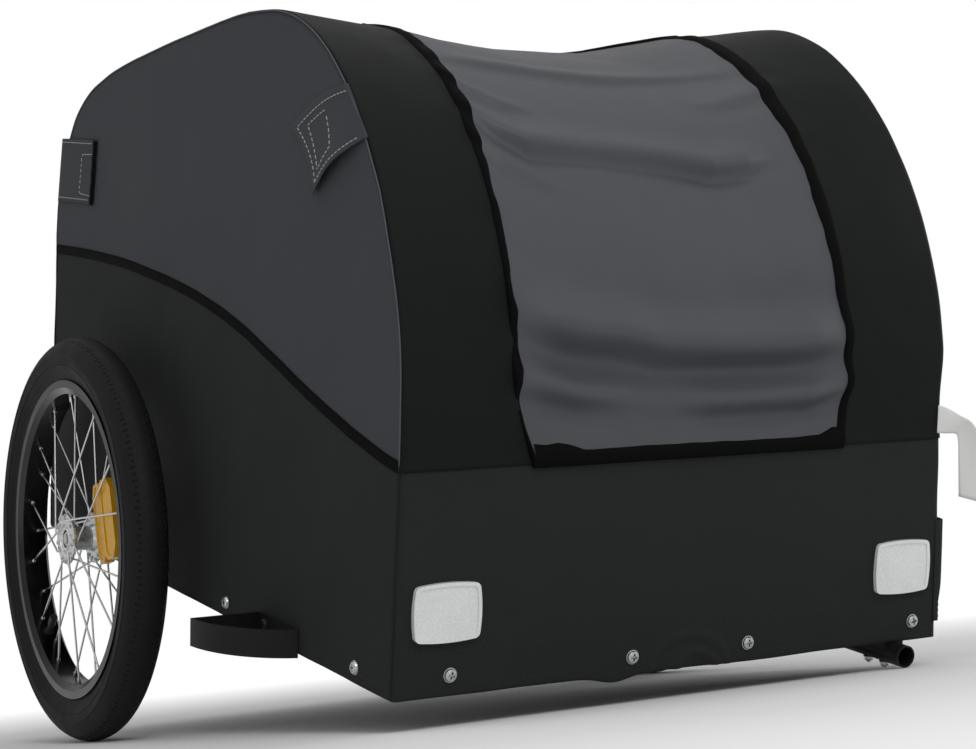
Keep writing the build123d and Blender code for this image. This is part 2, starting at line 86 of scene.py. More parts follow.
# ---------------------------------------------------------------- settings
class CoverSettings(bpy.types.PropertyGroup):
    sag: FloatProperty(name="Roof sag", description="How far the roof hangs between its edges",
                       default=0.0285, min=0.0, max=0.06, unit="LENGTH")
    edge_radius: FloatProperty(name="Edge radius", description="Rounding where the roof turns down",
                               default=0.0020, min=0.001, max=0.02, unit="LENGTH")
    seam_drop: FloatProperty(name="Seam drop", description="From the roof's edge down to its side seam",
                             default=0.0020, min=0.001, max=0.03, unit="LENGTH")
    corner_radius: FloatProperty(name="Corner radius", description="Rounding of the upright corners",
                                 default=0.004, min=0.001, max=0.02, unit="LENGTH")
    binding_width: FloatProperty(name="Binding width", description="Width of the sewn edge tape",
                                 default=0.010, min=0.004, max=0.03, unit="LENGTH")
    stitch_pitch: FloatProperty(name="Stitch pitch", description="From one stitch to the next",
                                default=0.0052, min=0.002, max=0.01, unit="LENGTH")
    black: FloatVectorProperty(name="Black cloth", description="Colour of the lower body",
                               default=(0.0190, 0.0212, 0.0204), subtype="COLOR", min=0, max=1)
    hood: FloatVectorProperty(name="Hood cloth", description="Colour of the two hood bands",
                              default=(0.0084, 0.0092, 0.0092), subtype="COLOR", min=0, max=1)
    grey: FloatVectorProperty(name="Grey cloth", description="Colour of the cover's sides and roof",
                              default=(0.0560, 0.0592, 0.0668), subtype="COLOR", min=0, max=1)
    window: FloatVectorProperty(name="Window cloth", description="Colour of the front panel",
                                default=(0.0610, 0.0632, 0.0725), subtype="COLOR", min=0, max=1)
    tape: FloatVectorProperty(name="Tape", description="Colour of the binding tape",
                              default=(0.0035, 0.0036, 0.0038), subtype="COLOR", min=0, max=1)


class FittingSettings(bpy.types.PropertyGroup):
    screw_radius: FloatProperty(name="Screw radius", description="Radius of a screw's flange",
                                default=0.0061, min=0.002, max=0.01, unit="LENGTH")
    coat: FloatVectorProperty(name="Frame coat", description="Colour of the frame's powder coat",
                              default=(0.0085, 0.0087, 0.0088), subtype="COLOR", min=0, max=1)
    zinc: FloatVectorProperty(name="Zinc", description="Colour of the screws and nuts",
                              default=(0.62, 0.62, 0.61), subtype="COLOR", min=0, max=1)
    amber: FloatVectorProperty(name="Amber", description="Colour of the spoke reflectors",
                               default=(0.95, 0.50, 0.006), subtype="COLOR", min=0, max=1)
    clear: FloatVectorProperty(name="Clear lens", description="Colour of the front reflectors",
                               default=(0.76, 0.78, 0.77), subtype="COLOR", min=0, max=1)
    red: FloatVectorProperty(name="Red lens", description="Colour of the rear reflectors",
                             default=(0.50, 0.012, 0.012), subtype="COLOR", min=0, max=1)


class WheelSettings(bpy.types.PropertyGroup):
    tread_blocks: IntProperty(name="Tread blocks", description="Tread blocks round each tyre",
                              default=96, min=24, max=160)
    tread_depth: FloatProperty(name="Tread depth", description="Depth of the grooves",
                               default=0.0009, min=0.0, max=0.003, unit="LENGTH")
    rubber: FloatVectorProperty(name="Rubber", description="Colour of the tyres",
                                default=(0.0115, 0.0118, 0.0120), subtype="COLOR", min=0, max=1)


class StudioSettings(bpy.types.PropertyGroup):
    lens: FloatProperty(name="Lens", description="Focal length in millimetres",
                        default=81.84, min=20, max=200)
    azimuth: FloatProperty(name="Azimuth", description="Turn of the camera from the trailer's nose",
                           default=math.radians(29.771), subtype="ANGLE")
    elevation: FloatProperty(name="Elevation", description="How far the camera looks down",
                             default=math.radians(6.464), subtype="ANGLE")
    roll: FloatProperty(name="Roll", description="Roll of the camera",
                        default=math.radians(1.32), subtype="ANGLE")
    key: FloatProperty(name="Key light", description="Power of the main lamp in watts",
                       default=30.0, min=0)
    top: FloatProperty(name="Top light", description="Power of the overhead lamp in watts",
                       default=14.0, min=0)
    fill: FloatProperty(name="Fill light", description="Power of the side lamp in watts",
                        default=12.0, min=0)
    ambient: FloatProperty(name="Ambient", description="Strength of the surrounding light",
                           default=0.50, min=0)


def cover():
    return bpy.context.scene.trailer_cover


def fittings():
    return bpy.context.scene.trailer_fittings


def wheels():
    return bpy.context.scene.trailer_wheels


def studio():
    return bpy.context.scene.trailer_studio


# ---------------------------------------------------------------- small tools
def smooth(low, high, value):
    """0 below low, 1 above high, and an even S between."""
    t = min(1.0, max(0.0, (value - low) / (high - low)))
    return t * t * (3 - 2 * t)


def wander(x, y, size, seed):
    """A soft random field between about -1 and 1 with features of the given size."""
    return noise.noise(Vector((x / size, y / size, seed * 7.31)))


def table(rows, value):
    """The number at a value, straight between a table's rows."""
    return float(np.interp(value, *zip(*rows)))


def along(points, t, soften=0.0):
    """The place at t, from 0 to 1, along evenly numbered points, with the corners eased."""
    stops, places = np.linspace(0, 1, len(points)), np.array(points)
    reach = min(soften, t, 1 - t)
    shares = [t + reach * k / 4 for k in range(-4, 5)]
    return Vector([float(np.mean(np.interp(shares, stops, places[:, axis]))) for axis in range(3)])


def outward_from_middle(centre):
    """From the middle of the body, which tells a cloth's outer face."""
    return centre - Vector((0, 0.40, 0.22))


def select_none():
    if bpy.context.object and bpy.context.object.mode != "OBJECT":
        bpy.ops.object.mode_set(mode="OBJECT")
    bpy.ops.object.select_all(action="DESELECT")


def only(piece):
    select_none()
    piece.select_set(True)
    bpy.context.view_layer.objects.active = piece


def added(name):
    """The primitive just added, with its name."""
    piece = bpy.context.object
    piece.name = piece.data.name = name
    return piece


def linked(name, data):
    """A new object in the scene for a mesh, curve or camera."""
    piece = bpy.data.objects.new(name, data)
    bpy.context.collection.objects.link(piece)
    return piece


def apply_modifiers(piece):
    only(piece)
    for modifier in list(piece.modifiers):
        bpy.ops.object.modifier_apply(modifier=modifier.name)


def settle(piece):
    """Puts the piece's own place into its mesh."""
    only(piece)
    bpy.ops.object.transform_apply(location=True, rotation=True, scale=True)
    return piece


def join(pieces, name):
    select_none()
    for piece in pieces:
        piece.select_set(True)
    bpy.context.view_layer.objects.active = pieces[0]
    bpy.ops.object.join()
    return added(name)


def copy_of(piece, place):
    """A copy with its own mesh, its vertices moved by place."""
    twin = linked(piece.name, piece.data.copy())
    twin.data.transform(place)
    if place.determinant() < 0:
        twin.data.flip_normals()
    return twin


def remove(piece):
    bpy.data.objects.remove(piece)


def finish_piece(piece, finish, body=CHASSIS, replaces=(), angle=None):
    """Its material and smooth faces, the solid parts it replaces hidden, and the body that it rides on."""
    piece.data.materials.clear()
    piece.data.materials.append(finish)
    only(piece)
    if angle is None:
        bpy.ops.object.shade_smooth()
    else:
        bpy.ops.object.shade_smooth_by_angle(angle=math.radians(angle))
    if replaces:
        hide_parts(*replaces)
    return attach(piece, body)


# ---------------------------------------------------------------- materials
class Recipe:
    """A material's nodes, added one by one."""

    def __init__(self, name, colour, roughness, metallic=0.0, specular=0.5):
        self.material = bpy.data.materials.new(name)
        self.material.use_nodes = True
        self.nodes = self.material.node_tree.nodes
        self.links = self.material.node_tree.links
        self.shader = self.nodes["Principled BSDF"]
        self.colour = colour
        self.set(self.shader, Base_Color=(*colour, 1), Roughness=roughness, Metallic=metallic,
                 Specular_IOR_Level=specular)

    def set(self, node, **values):
        for key, value in values.items():
            node.inputs[key.replace("_", " ")].default_value = value

    def add(self, kind, **values):
        node = self.nodes.new(kind)
        for key, value in values.items():
            setattr(node, key, value)
        return node

    def link(self, source, target):
        self.links.new(source, target)

    def coordinates(self, kind="Object", scale=(1, 1, 1)):
        source = self.add("ShaderNodeTexCoord")
        mapping = self.add("ShaderNodeMapping")
        self.set(mapping, Scale=scale)
        self.link(source.outputs[kind], mapping.inputs["Vector"])
        return mapping.outputs["Vector"]

    def noise(self, vector, scale, detail=3.0, roughness=0.5):
        node = self.add("ShaderNodeTexNoise")
        self.set(node, Scale=scale, Detail=detail, Roughness=roughness)
        self.link(vector, node.inputs["Vector"])
        return node.outputs["Fac"]

    def wave(self, vector, scale, direction, distortion):
        node = self.add("ShaderNodeTexWave", bands_direction=direction)
        self.set(node, Scale=scale, Distortion=distortion, Detail_Scale=2.0)
        self.link(vector, node.inputs["Vector"])
        return node.outputs["Fac"]

    def cells(self, vector, scale):
        node = self.add("ShaderNodeTexVoronoi")
        self.set(node, Scale=scale)
        self.link(vector, node.inputs["Vector"])
        return node.outputs["Distance"]

    def math(self, operation, first, second):
        node = self.add("ShaderNodeMath", operation=operation)
        for socket, value in zip(node.inputs, (first, second)):
            if isinstance(value, (int, float)):
                socket.default_value = value
            else:
                self.link(value, socket)
        return node.outputs[0]

    def blend(self, *shares):
        """The sum of (value, share) pairs."""
        scaled = [self.math("MULTIPLY", value, share) for value, share in shares]
        total = scaled[0]
        for value in scaled[1:]:
            total = self.math("ADD", total, value)
        return total

    def span(self, value, low, high, to_low, to_high):
        node = self.add("ShaderNodeMapRange")
        self.set(node, From_Min=low, From_Max=high, To_Min=to_low, To_Max=to_high)
        self.link(value, node.inputs["Value"])
        return node.outputs["Result"]

    def tint(self, factor, dark, light):
        """The base colour, from dark to light times itself, by factor."""
        node = self.add("ShaderNodeMix", data_type="RGBA")
        self.link(factor, node.inputs["Factor"])
        self.set(node, A=(*[c * dark for c in self.colour], 1),
                 B=(*[min(1.0, c * light) for c in self.colour], 1))
        self.link(node.outputs["Result"], self.shader.inputs["Base Color"])

    def rough(self, factor, low, high):
        self.link(self.span(factor, 0.3, 0.7, low, high), self.shader.inputs["Roughness"])

    def bump(self, height, distance, strength, after=None):
        node = self.add("ShaderNodeBump")
        self.set(node, Distance=distance, Strength=strength)
        self.link(height, node.inputs["Height"])
        if after is not None:
            self.link(after, node.inputs["Normal"])
        self.link(node.outputs["Normal"], self.shader.inputs["Normal"])
        return node.outputs["Normal"]


made_materials = {}


def material(build):
    """The material that a function builds, made once under that function's name."""
    name = build.__name__
    if name not in made_materials:
        made_materials[name] = build(name)
    return made_materials[name]


def woven(name, colour, roughness, thread, relief=0.0001, specular=0.14):
    """Plain-woven cloth: crossed threads, uneven yarn and faint clouds. Reads the sheet's own UV."""
    r = Recipe(name, colour, roughness, specular=specular)
    across = r.coordinates("UV")
    threads = 0.5 / thread
    weave = r.math("MULTIPLY", r.wave(across, threads, "X", 0.6), r.wave(across, threads, "Y", 0.6))
    streaks = [r.noise(r.coordinates("UV", scale), 1.0, 2) for scale in ((90, 900, 1), (900, 90, 1))]
    yarn = r.math("ADD", *streaks)
    cloud = r.noise(r.coordinates("UV", (9, 9, 1)), 1.0, 4)
    shade = r.blend((yarn, 0.25), (cloud, 0.35), (weave, 0.35))
    r.tint(r.span(shade, 0.25, 0.85, 0, 1), 0.90, 1.12)
    r.rough(cloud, roughness - 0.05, roughness + 0.06)
    r.bump(yarn, relief, 0.35, r.bump(weave, relief, 0.7))
    r.set(r.shader, Sheen_Weight=0.012, Sheen_Roughness=0.45)
    return r.material


def cloth_black(name):
    return woven(name, cover().black, 0.80, 0.0011, 0.00016)


def cloth_hood(name):
    return woven(name, cover().hood, 0.50, 0.0008, specular=0.07)


def cloth_grey(name):
    return woven(name, cover().grey, 0.76, 0.0009)


def cloth_tab(name):
    return woven(name, cover().grey, 0.72, 0.0009, 0.0002)


def cloth_piping(name):
    """Cord in the cover's seams, painted paler than the grey cloth as a painted highlight along the roof's rounded
    edge.
    """
    return woven(name, [1.7 * c for c in cover().grey], 0.7, 0.0007)


def cloth_window(name):
    """Coated cloth, smoother and a little glossier than the rest."""
    return woven(name, cover().window, 0.46, 0.0006, 0.00004, 0.37)


def tape(name):
    """Ribbed edge tape, the ribs running across it."""
    r = Recipe(name, cover().tape, 0.75, specular=0.03)
    ribs = r.wave(r.coordinates("UV"), 420, "X", 0.3)
    fuzz = r.noise(r.coordinates("UV", (300, 300, 1)), 1.0, 3)
    r.tint(r.blend((ribs, 0.5), (fuzz, 0.5)), 0.8, 1.5)
    r.rough(fuzz, 0.6, 0.8)
    r.bump(ribs, 0.0001, 0.5)
    return r.material


def tag_satin(name):
    """White satin ribbon of a blank care tag."""
    r = Recipe(name, (0.78, 0.78, 0.77), 0.5)
    threads = r.wave(r.coordinates("UV"), 900, "X", 0.4)
    cloud = r.noise(r.coordinates("UV", (30, 30, 1)), 1.0, 3)
    r.tint(r.blend((threads, 0.4), (cloud, 0.6)), 0.88, 1.06)
    r.bump(threads, 0.00008, 0.4)
    return r.material


def twisted(name, colour):
    """Sewing thread with its twist."""
    r = Recipe(name, colour, 0.55, specular=0.4)
    twist = r.wave(r.coordinates(), 900, "DIAGONAL", 1.0)
    r.tint(twist, 0.7, 1.2)
    r.bump(twist, 0.0001, 0.5)
    return r.material


def dark_thread(name):
    return twisted(name, (0.0125, 0.0130, 0.0130))


def pale_thread(name):
    return twisted(name, (0.46, 0.46, 0.47))


def mottled(name, colour, roughness, cloud, shades, gloss, grain, relief, stretch=(1, 1, 1), **base):
    """A hard finish: a cloud of noise moves its tone and gloss, over a fine grain."""
    r = Recipe(name, colour, roughness, **base)
    tone = r.noise(r.coordinates("Object", stretch), *cloud)
    r.tint(tone, *shades)
    r.rough(tone, *gloss)
    kind, *size = grain
    skins = {"cells": r.cells, "noise": r.noise}
    r.bump(skins[kind](r.coordinates(), *size) if kind in skins else tone, *relief)
    return r


def powder_coat(name):
    """Satin black powder coat with a fine orange peel."""
    return mottled(name, fittings().coat, 0.38, (14, 4), (0.8, 1.35), (0.30, 0.46), ("cells", 420),
                   (0.0002, 0.35), specular=0.20).material


def zinc_plate(name):
    """Zinc-plated steel with faint cloudy crystals."""
    return mottled(name, fittings().zinc, 0.28, (260, 3), (0.82, 1.12), (0.20, 0.38), ("noise", 1800, 2),
                   (0.00006, 0.4), metallic=1.0).material


def rubber(name):
    """Matt tyre rubber, a little greyer where it is scuffed."""
    return mottled(name, wheels().rubber, 0.60, (26, 5, 0.6), (0.82, 1.3), (0.52, 0.70), ("noise", 1500, 3),
                   (0.00006, 0.4), specular=0.13).material


def rim_anodised(name):
    """Black anodised rim with a fine turned grain and a thin clear skin."""
    r = mottled(name, (0.034, 0.035, 0.036), 0.26, (40, 3), (0.85, 1.2), (0.22, 0.32), ("noise", 900, 2),
                (0.00003, 0.3), metallic=1.0)
    r.set(r.shader, Coat_Weight=0.12, Coat_Roughness=0.12)
    return r.material


def turned_alloy(name):
    """Satin aluminium, its grain drawn out across the axle."""
    return mottled(name, (0.80, 0.82, 0.82), 0.26, (1.0, 3), (0.82, 1.08), (0.22, 0.38), ("cloud",),
                   (0.00002, 0.3), (900, 120, 120), metallic=1.0).material


def bright_steel(name):
    """Drawn spoke wire."""
    return mottled(name, (0.72, 0.72, 0.72), 0.26, (60, 2), (0.92, 1.06), (0.22, 0.34), ("noise", 1500, 2),
                   (0.00001, 0.2), metallic=1.0).material


def black_plastic(name):
    """Moulded matt plastic."""
    return mottled(name, (0.014, 0.014, 0.014), 0.5, (40, 3), (0.8, 1.3), (0.44, 0.60), ("cells", 900),
                   (0.0001, 0.3)).material


def floor_ply(name):
    """Dark plastic-faced board with a pressed grain."""
    return mottled(name, (0.022, 0.022, 0.023), 0.6, (1.0, 4), (0.75, 1.3), (0.5, 0.7), ("cells", 350),
                   (0.0003, 0.4), (30, 400, 400)).material


def prism_lens(name, colour, through, cell, coat=0.6):
    """Moulded lens: a clear skin over small corner-cube prisms."""
    r = Recipe(name, colour, 0.14)
    place = r.coordinates()
    prisms = r.cells(place, cell)
    cloud = r.noise(place, 45, 3)
    r.tint(r.blend((prisms, 0.7), (cloud, 0.6)), 0.86, 1.10)
    r.rough(cloud, 0.10, 0.22)
    r.bump(prisms, 0.0003, 0.5)
    r.set(r.shader, Transmission_Weight=through, IOR=1.49, Coat_Weight=coat, Coat_Roughness=0.06)
    return r.material


def amber_lens(name):
    return prism_lens(name, fittings().amber, 0.22, 500, coat=0.15)


def clear_lens(name):
    return prism_lens(name, fittings().clear, 0.0, 620)


def red_lens(name):
    return prism_lens(name, fittings().red, 0.1, 620)


# ---------------------------------------------------------------- the cover's shape
def roof_arcs():
    """The roof's arcs as (radius, end slope in radians), with the open radius worked out."""
    ends = [math.radians(slope) for _, slope in ROOF_ARCS]
    reach = [math.sin(end) - math.sin(start) for start, end in zip([0.0] + ends, ends)]
    known = sum(radius * share for (radius, _), share in zip(ROOF_ARCS, reach) if radius)
    open_share = next(share for (radius, _), share in zip(ROOF_ARCS, reach) if radius is None)
    middle = (LENGTH - APEX_Y - known) / open_share
    return [(radius or middle, end) for (radius, _), end in zip(ROOF_ARCS, ends)]


class Outline:
    """The body seen from the side, as points along it with the outward direction at each."""

    def __init__(self):
        points = [(0.0, z) for z in np.linspace(0.0, HEM, 24)]
        for t in np.linspace(0, math.pi / 2, 120)[1:]:
            points.append((HOOD_DEPTH * (1 - math.cos(t)), HEM + (ROOF - HEM) * math.sin(t)))
        points.append((APEX_Y, ROOF))
        start = 0.0
        for radius, end in roof_arcs():
            y, z = points[-1]
            middle_y, middle_z = y - radius * math.sin(start), z - radius * math.cos(start)
            for t in np.linspace(start, end, 28)[1:]:
                points.append((middle_y + radius * math.sin(t), middle_z + radius * math.cos(t)))
            start = end
        corner_z = points[-1][1]
        points += [(LENGTH, z) for z in np.linspace(corner_z, 0.0, 40)[1:]]
        self.y, self.z = np.array(points).T
        steps = np.hypot(np.diff(self.y), np.diff(self.z))
        self.s = np.concatenate([[0.0], np.cumsum(steps)])
        dy, dz = np.gradient(self.y, self.s), np.gradient(self.z, self.s)
        size = np.hypot(dy, dz)
        self.ny, self.nz = -dz / size, dy / size
        self.end = self.s[-1]
        self.hem = HEM
        self.apex = float(self.s[np.argmax(self.y >= HOOD_DEPTH)])
        self.hood_end = float(np.interp(HOOD_END, self.y[self.s < 1.0], self.s[self.s < 1.0]))
        self.rear_seam = self.end - REAR_SEAM
        self.rear_top = self.end - corner_z

    def behind(self, z):
        """How far back the cover's rear stands at a height."""
        rear = self.s > self.s[np.argmax(self.z)] + 0.2
        return float(np.interp(z, self.z[rear][::-1], self.y[rear][::-1]))

    def at(self, s):
        return tuple(float(np.interp(s, self.s, v)) for v in (self.y, self.z, self.ny, self.nz))


OUTLINE = Outline()


def half_width(z):
    return HALF_BASE - LEAN * z


def roof_share(s):
    """1 along the hood and the roof, 0 down the upright corners."""
    return smooth(OUTLINE.hem, OUTLINE.hem + 0.09, s) * (1 - smooth(OUTLINE.rear_top, OUTLINE.rear_seam, s))


def edge_radius(s):
    settings = cover()
    return settings.corner_radius + (settings.edge_radius - settings.corner_radius) * roof_share(s)


def seam_drop(s):
    """From the body's edge in to the seam, down the side."""
    settings = cover()
    return settings.corner_radius + (settings.seam_drop - settings.corner_radius) * roof_share(s)


# how far the roof hangs across its width, as shares of the deepest
HANG = ((-0.262, 0.0), (-0.182, 0.37), (-0.158, 0.40), (-0.100, 0.74), (-0.050, 0.94), (0.040, 1.0),
        (0.076, 0.95), (0.114, 0.66), (0.155, 0.37), (0.195, 0.29), (0.262, 0.0))


def hang(x, s):
    """How far the roof cloth hangs inwards between its edges and the window's seams."""
    across = sum(np.interp(x + 0.003 * k, *zip(*HANG)) for k in range(-4, 5)) / 9
    front = smooth(OUTLINE.hem + 0.14, OUTLINE.apex - 0.03, s) ** 1.2
    back = 1 - 0.55 * smooth(OUTLINE.apex, OUTLINE.apex + 0.20, s)
    back *= 1 - smooth(OUTLINE.apex + 0.22, OUTLINE.rear_top + 0.05, s)
    return cover().sag * across * front * back


def spread(sign, y, z):
    """The left side stands out a little beside the hood."""
    if sign < 0:
        return 0.0
    return 0.0036 * smooth(0.215, 0.300, z) * (1 - smooth(0.14, 0.34, y))


def hood_swell(x, s):
    """The hood's left edge stands further forward than its right."""
    risen = smooth(OUTLINE.hem + 0.02, OUTLINE.hem + 0.085, s)
    ended = smooth(OUTLINE.apex - 0.10, OUTLINE.apex + 0.05, s)
    return 0.0055 * smooth(0.08, 0.25, x) * risen * (1 - ended)


def window_half(s, side):
    """From the middle to the window's seam, which draws in at the hem."""
    drawn = 0.018 if side < 0 else 0.013
    return WINDOW_HALF - drawn * (1 - smooth(-0.02, 0.062, s - OUTLINE.hem))


# each fold: its crest as (x, height along the cloth from the hem, strength), how high it stands,
# and how soft it is above and below
FOLDS = (
    (((-0.17, 0.388, 0.4), (-0.11, 0.388, 1), (-0.05, 0.384, 1), (0.00, 0.376, 1), (0.07, 0.381, 0.8),
      (0.13, 0.377, 0.5), (0.17, 0.380, 0.1)), 0.0034, 0.014, 0.007),
    (((-0.17, 0.322, 0.5), (-0.145, 0.290, 0.8), (-0.118, 0.272, 1), (-0.05, 0.268, 0.8), (0.02, 0.259, 1),
      (0.06, 0.251, 1.2), (0.10, 0.255, 0.9), (0.125, 0.262, 0.2), (0.17, 0.268, 0)),
     0.0078, 0.020, 0.0075),
    (((-0.17, 0.150, 0.2), (-0.085, 0.150, 0.5), (0.00, 0.138, 0.8), (0.156, 0.154, 1)),
     0.0034, 0.030, 0.020),
    (((-0.17, 0.122, 0.5), (-0.14, 0.112, 0.8), (-0.11, 0.104, 1), (-0.068, 0.099, 1), (-0.03, 0.091, 1),
      (0.03, 0.088, 1), (0.09, 0.087, 1), (0.15, 0.091, 0.9), (0.17, 0.094, 0.8)), 0.0165, 0.026, 0.0135),
    (((-0.17, 0.066, 1), (-0.14, 0.060, 1), (-0.11, 0.053, 0.8), (-0.06, 0.048, 0.2), (-0.02, 0.044, 0.2),
      (0.02, 0.043, 0.8), (0.12, 0.044, 1), (0.154, 0.051, 1), (0.17, 0.055, 0.8)), 0.0110, 0.016, 0.010),
    (((-0.17, 0.362, 1), (-0.15, 0.337, 1), (-0.125, 0.320, 0.6), (-0.09, 0.312, 0)), 0.0040, 0.010, 0.006),
    (((-0.17, 0.286, 1), (-0.15, 0.258, 1), (-0.12, 0.236, 0.5), (-0.09, 0.226, 0)), 0.0036, 0.010, 0.007),
    (((0.06, 0.335, 0), (0.10, 0.330, 0.6), (0.14, 0.338, 1), (0.17, 0.350, 1)), 0.0024, 0.012, 0.008),
)


def folds(x, s):
    """Drape folds of the front panel: a soft upper slope and a quick turn under each crest."""
    total = 0.0
    height = s - OUTLINE.hem
    for crest, rise, above, below in FOLDS:
        places, heights, strengths = zip(*crest)
        t = height - np.interp(x, places, heights)
        wide = above if t > 0 else below
        lift = math.exp(-((t / wide) ** 2))
        tuck = math.exp(-(((t + 1.7 * below) / (1.3 * below)) ** 2))
        total += rise * np.interp(x, places, strengths) * (lift - 0.55 * tuck)
    ends = 1 - 0.55 * smooth(0.120, 0.168, abs(x))
    flare = 0.0035 * math.exp(-((height - 0.004) / 0.014) ** 2)
    return float(total * ends + flare)


def puckers(x, s):
    """Soft unevenness of stretched cloth, with small pulls beside the window's tape."""
    near_tape = math.exp(-(((abs(x) - WINDOW_HALF) / 0.020) ** 2))
    pull = near_tape * wander(0.2 * x, s, 0.022, 3) * 0.0012
    return 0.0011 * wander(x, s, 0.085, 1) + 0.0005 * wander(x, s, 0.030, 2) + pull


def top_place(q, s, lift=0.0):
    """A place on the cover q across from the middle along the cloth and s along the outline."""
    y, z, ny, nz = OUTLINE.at(s)
    sign = 1 if q >= 0 else -1
    radius = edge_radius(s)
    wider = spread(sign, y, z)
    width = half_width(z) + wider
    flat = width - radius
    along = abs(q)
    if along <= flat:
        x, drop, tip = along, 0.0, 0.0
    elif along <= flat + math.pi / 2 * radius:
        tip = (along - flat) / radius
        x, drop = flat + radius * math.sin(tip), radius * (1 - math.cos(tip))
    else:
        tip = math.pi / 2
        x, drop = width, radius + along - flat - tip * radius
    depth = puckers(sign * x, s) - hang(sign * x, s) + lift
    forward = hood_swell(sign * x, s)
    inward = drop - depth * math.cos(tip) - forward
    z_low = z - nz * inward
    x += half_width(z_low) + wider - width + depth * math.sin(tip)
    return Vector((sign * x, y - ny * inward, z_low))


def wrap(s, sign=-1):
    """From the middle to the line where the top cloth meets the side cloth."""
    y, z = OUTLINE.at(s)[:2]
    return half_width(z) + spread(sign, y, z) + (math.pi / 2 - 2) * edge_radius(s) + seam_drop(s)


def seam_height(y):
    """Height of the curved seam between the black and the grey side cloth."""
    ys = (0.0, 0.020, 0.075, 0.170, 0.254, 0.332, 0.410, 0.492, 0.615, 0.734, LENGTH)
    zs = (0.183, 0.186, 0.197, 0.220, 0.245, 0.267, 0.282, 0.293, 0.303, 0.306, REAR_SEAM)
    return float(np.interp(y, ys, zs))


def soft_seam_height(y):
    """The same seam with its corners eased."""
    reach = 0.035
    return sum(seam_height(y + reach * k / 4) for k in range(-4, 5)) / 9


def side_bulge(y, z):
    """Slight outward and inward swells of the side cloth."""
    middle = math.sin(math.pi * min(1, max(0, y / LENGTH))) * math.sin(math.pi * min(1, max(0, z / 0.5)))
    return -0.0022 * middle + 0.0013 * wander(y, z, 0.11, 5) + 0.0005 * wander(y, z, 0.035, 6)


def side_place(sign, y, z, lift=0.0):
    edge = min(y, LENGTH - y, 0.05) / 0.05
    out = half_width(z) + spread(sign, y, z) + side_bulge(y, z) * smooth(0, 1, edge) + lift
    return Vector((sign * out, y, z))


# ---------------------------------------------------------------- sheets, tapes and threads
def grid_piece(name, columns, rows, place, outward=outward_from_middle, park=PARK):
    """A grid primitive laid over a surface; place gives a point and its flat cloth coordinates."""
    select_none()
    bpy.ops.mesh.primitive_grid_add(x_subdivisions=columns, y_subdivisions=rows, size=2)
    piece = added(name)
    mesh = piece.data
    flat = []
    for vertex in mesh.vertices:
        point, cloth = place((vertex.co.x + 1) / 2, (vertex.co.y + 1) / 2)
        vertex.co = point
        flat.append(cloth)
    layer = mesh.uv_layers[0] if mesh.uv_layers else mesh.uv_layers.new()
    for loop in mesh.loops:
        layer.data[loop.index].uv = flat[loop.vertex_index]
    mesh.update()
    if sum(p.normal.dot(outward(p.center)) for p in list(mesh.polygons)[::7]) < 0:
        mesh.flip_normals()
    if park is not None:
        mesh.transform(park)
    return piece


def cloth_sheet(name, columns, rows, place, flat, cloth, slot, replaces=(), thickness=CLOTH,
                held="stretched", rests_on=(), outward=outward_from_middle):
    """Cloth laid over a surface and thickened inwards."""
    piece = grid_piece(name, columns, rows, place, outward)
    solid = piece.modifiers.new("thickness", "SOLIDIFY")
    solid.thickness = thickness
    solid.offset = -1
    apply_modifiers(piece)
    finish_piece(piece, material(cloth), replaces=replaces)
    return piece


# the sewn tape's section, in shares of its width and thickness
TAPE_SECTION = ((-0.5, -0.2), (-0.48, 0.55), (-0.30, 0.95), (0.0, 1.0), (0.30, 0.95), (0.48, 0.55),
                (0.5, -0.2))


def ribbon(name, points, out, width, thickness):
    """Sewn tape along points, facing out of the cloth: a shallow arch with turned edges."""
    out = Vector(out)
    lengths = [0.0]
    for a, b in zip(points, points[1:]):
        lengths.append(lengths[-1] + (b - a).length)

    def place(u, v):
        i = round(u * (len(points) - 1))
        before, after = points[max(0, i - 1)], points[min(len(points) - 1, i + 1)]
        aside = (after - before).normalized().cross(out).normalized()
        across, high = TAPE_SECTION[round(v * (len(TAPE_SECTION) - 1))]
        return points[i] + aside * across * width + out * high * thickness, (lengths[i], across * width)

    piece = grid_piece(name, len(points) - 1, len(TAPE_SECTION) - 1, place, lambda centre: out)
    return finish_piece(piece, material(tape))


WELT_RADIUS = 0.0007


def welt(name, points, cloth):
    """A thin corded seam along points."""
    curve = bpy.data.curves.new(name, "CURVE")
    curve.dimensions = "3D"
    curve.bevel_depth = WELT_RADIUS
    curve.bevel_resolution = 2
    curve.use_fill_caps = True
    spline = curve.splines.new("POLY")
    spline.points.add(len(points) - 1)
    for point, target in zip(spline.points, points):
        point.co = (*target, 1)
    only(linked(name, curve))
    bpy.ops.object.convert(target="MESH")
    piece = added(name)
    piece.data.transform(PARK)
    return finish_piece(piece, material(cloth))


def stitch_model():
    """One stitch: a short thread lying on the cloth, its ends dipping in."""
    select_none()
    bpy.ops.mesh.primitive_cylinder_add(vertices=6, radius=0.5, depth=1, end_fill_type="TRIFAN",
                                        rotation=(0, math.pi / 2, 0))
    piece = added("stitch_model")
    bpy.ops.object.transform_apply(rotation=True)
    bpy.ops.object.mode_set(mode="EDIT")
    for place in (0.22, -0.22):
        bpy.ops.mesh.select_all(action="SELECT")
        bpy.ops.mesh.bisect(plane_co=(place, 0, 0), plane_no=(1, 0, 0))
    bpy.ops.object.mode_set(mode="OBJECT")
    for vertex in piece.data.vertices:
        if abs(vertex.co.x) > 0.4:
            vertex.co.z -= 0.45
            vertex.co.y *= 0.7
    return piece


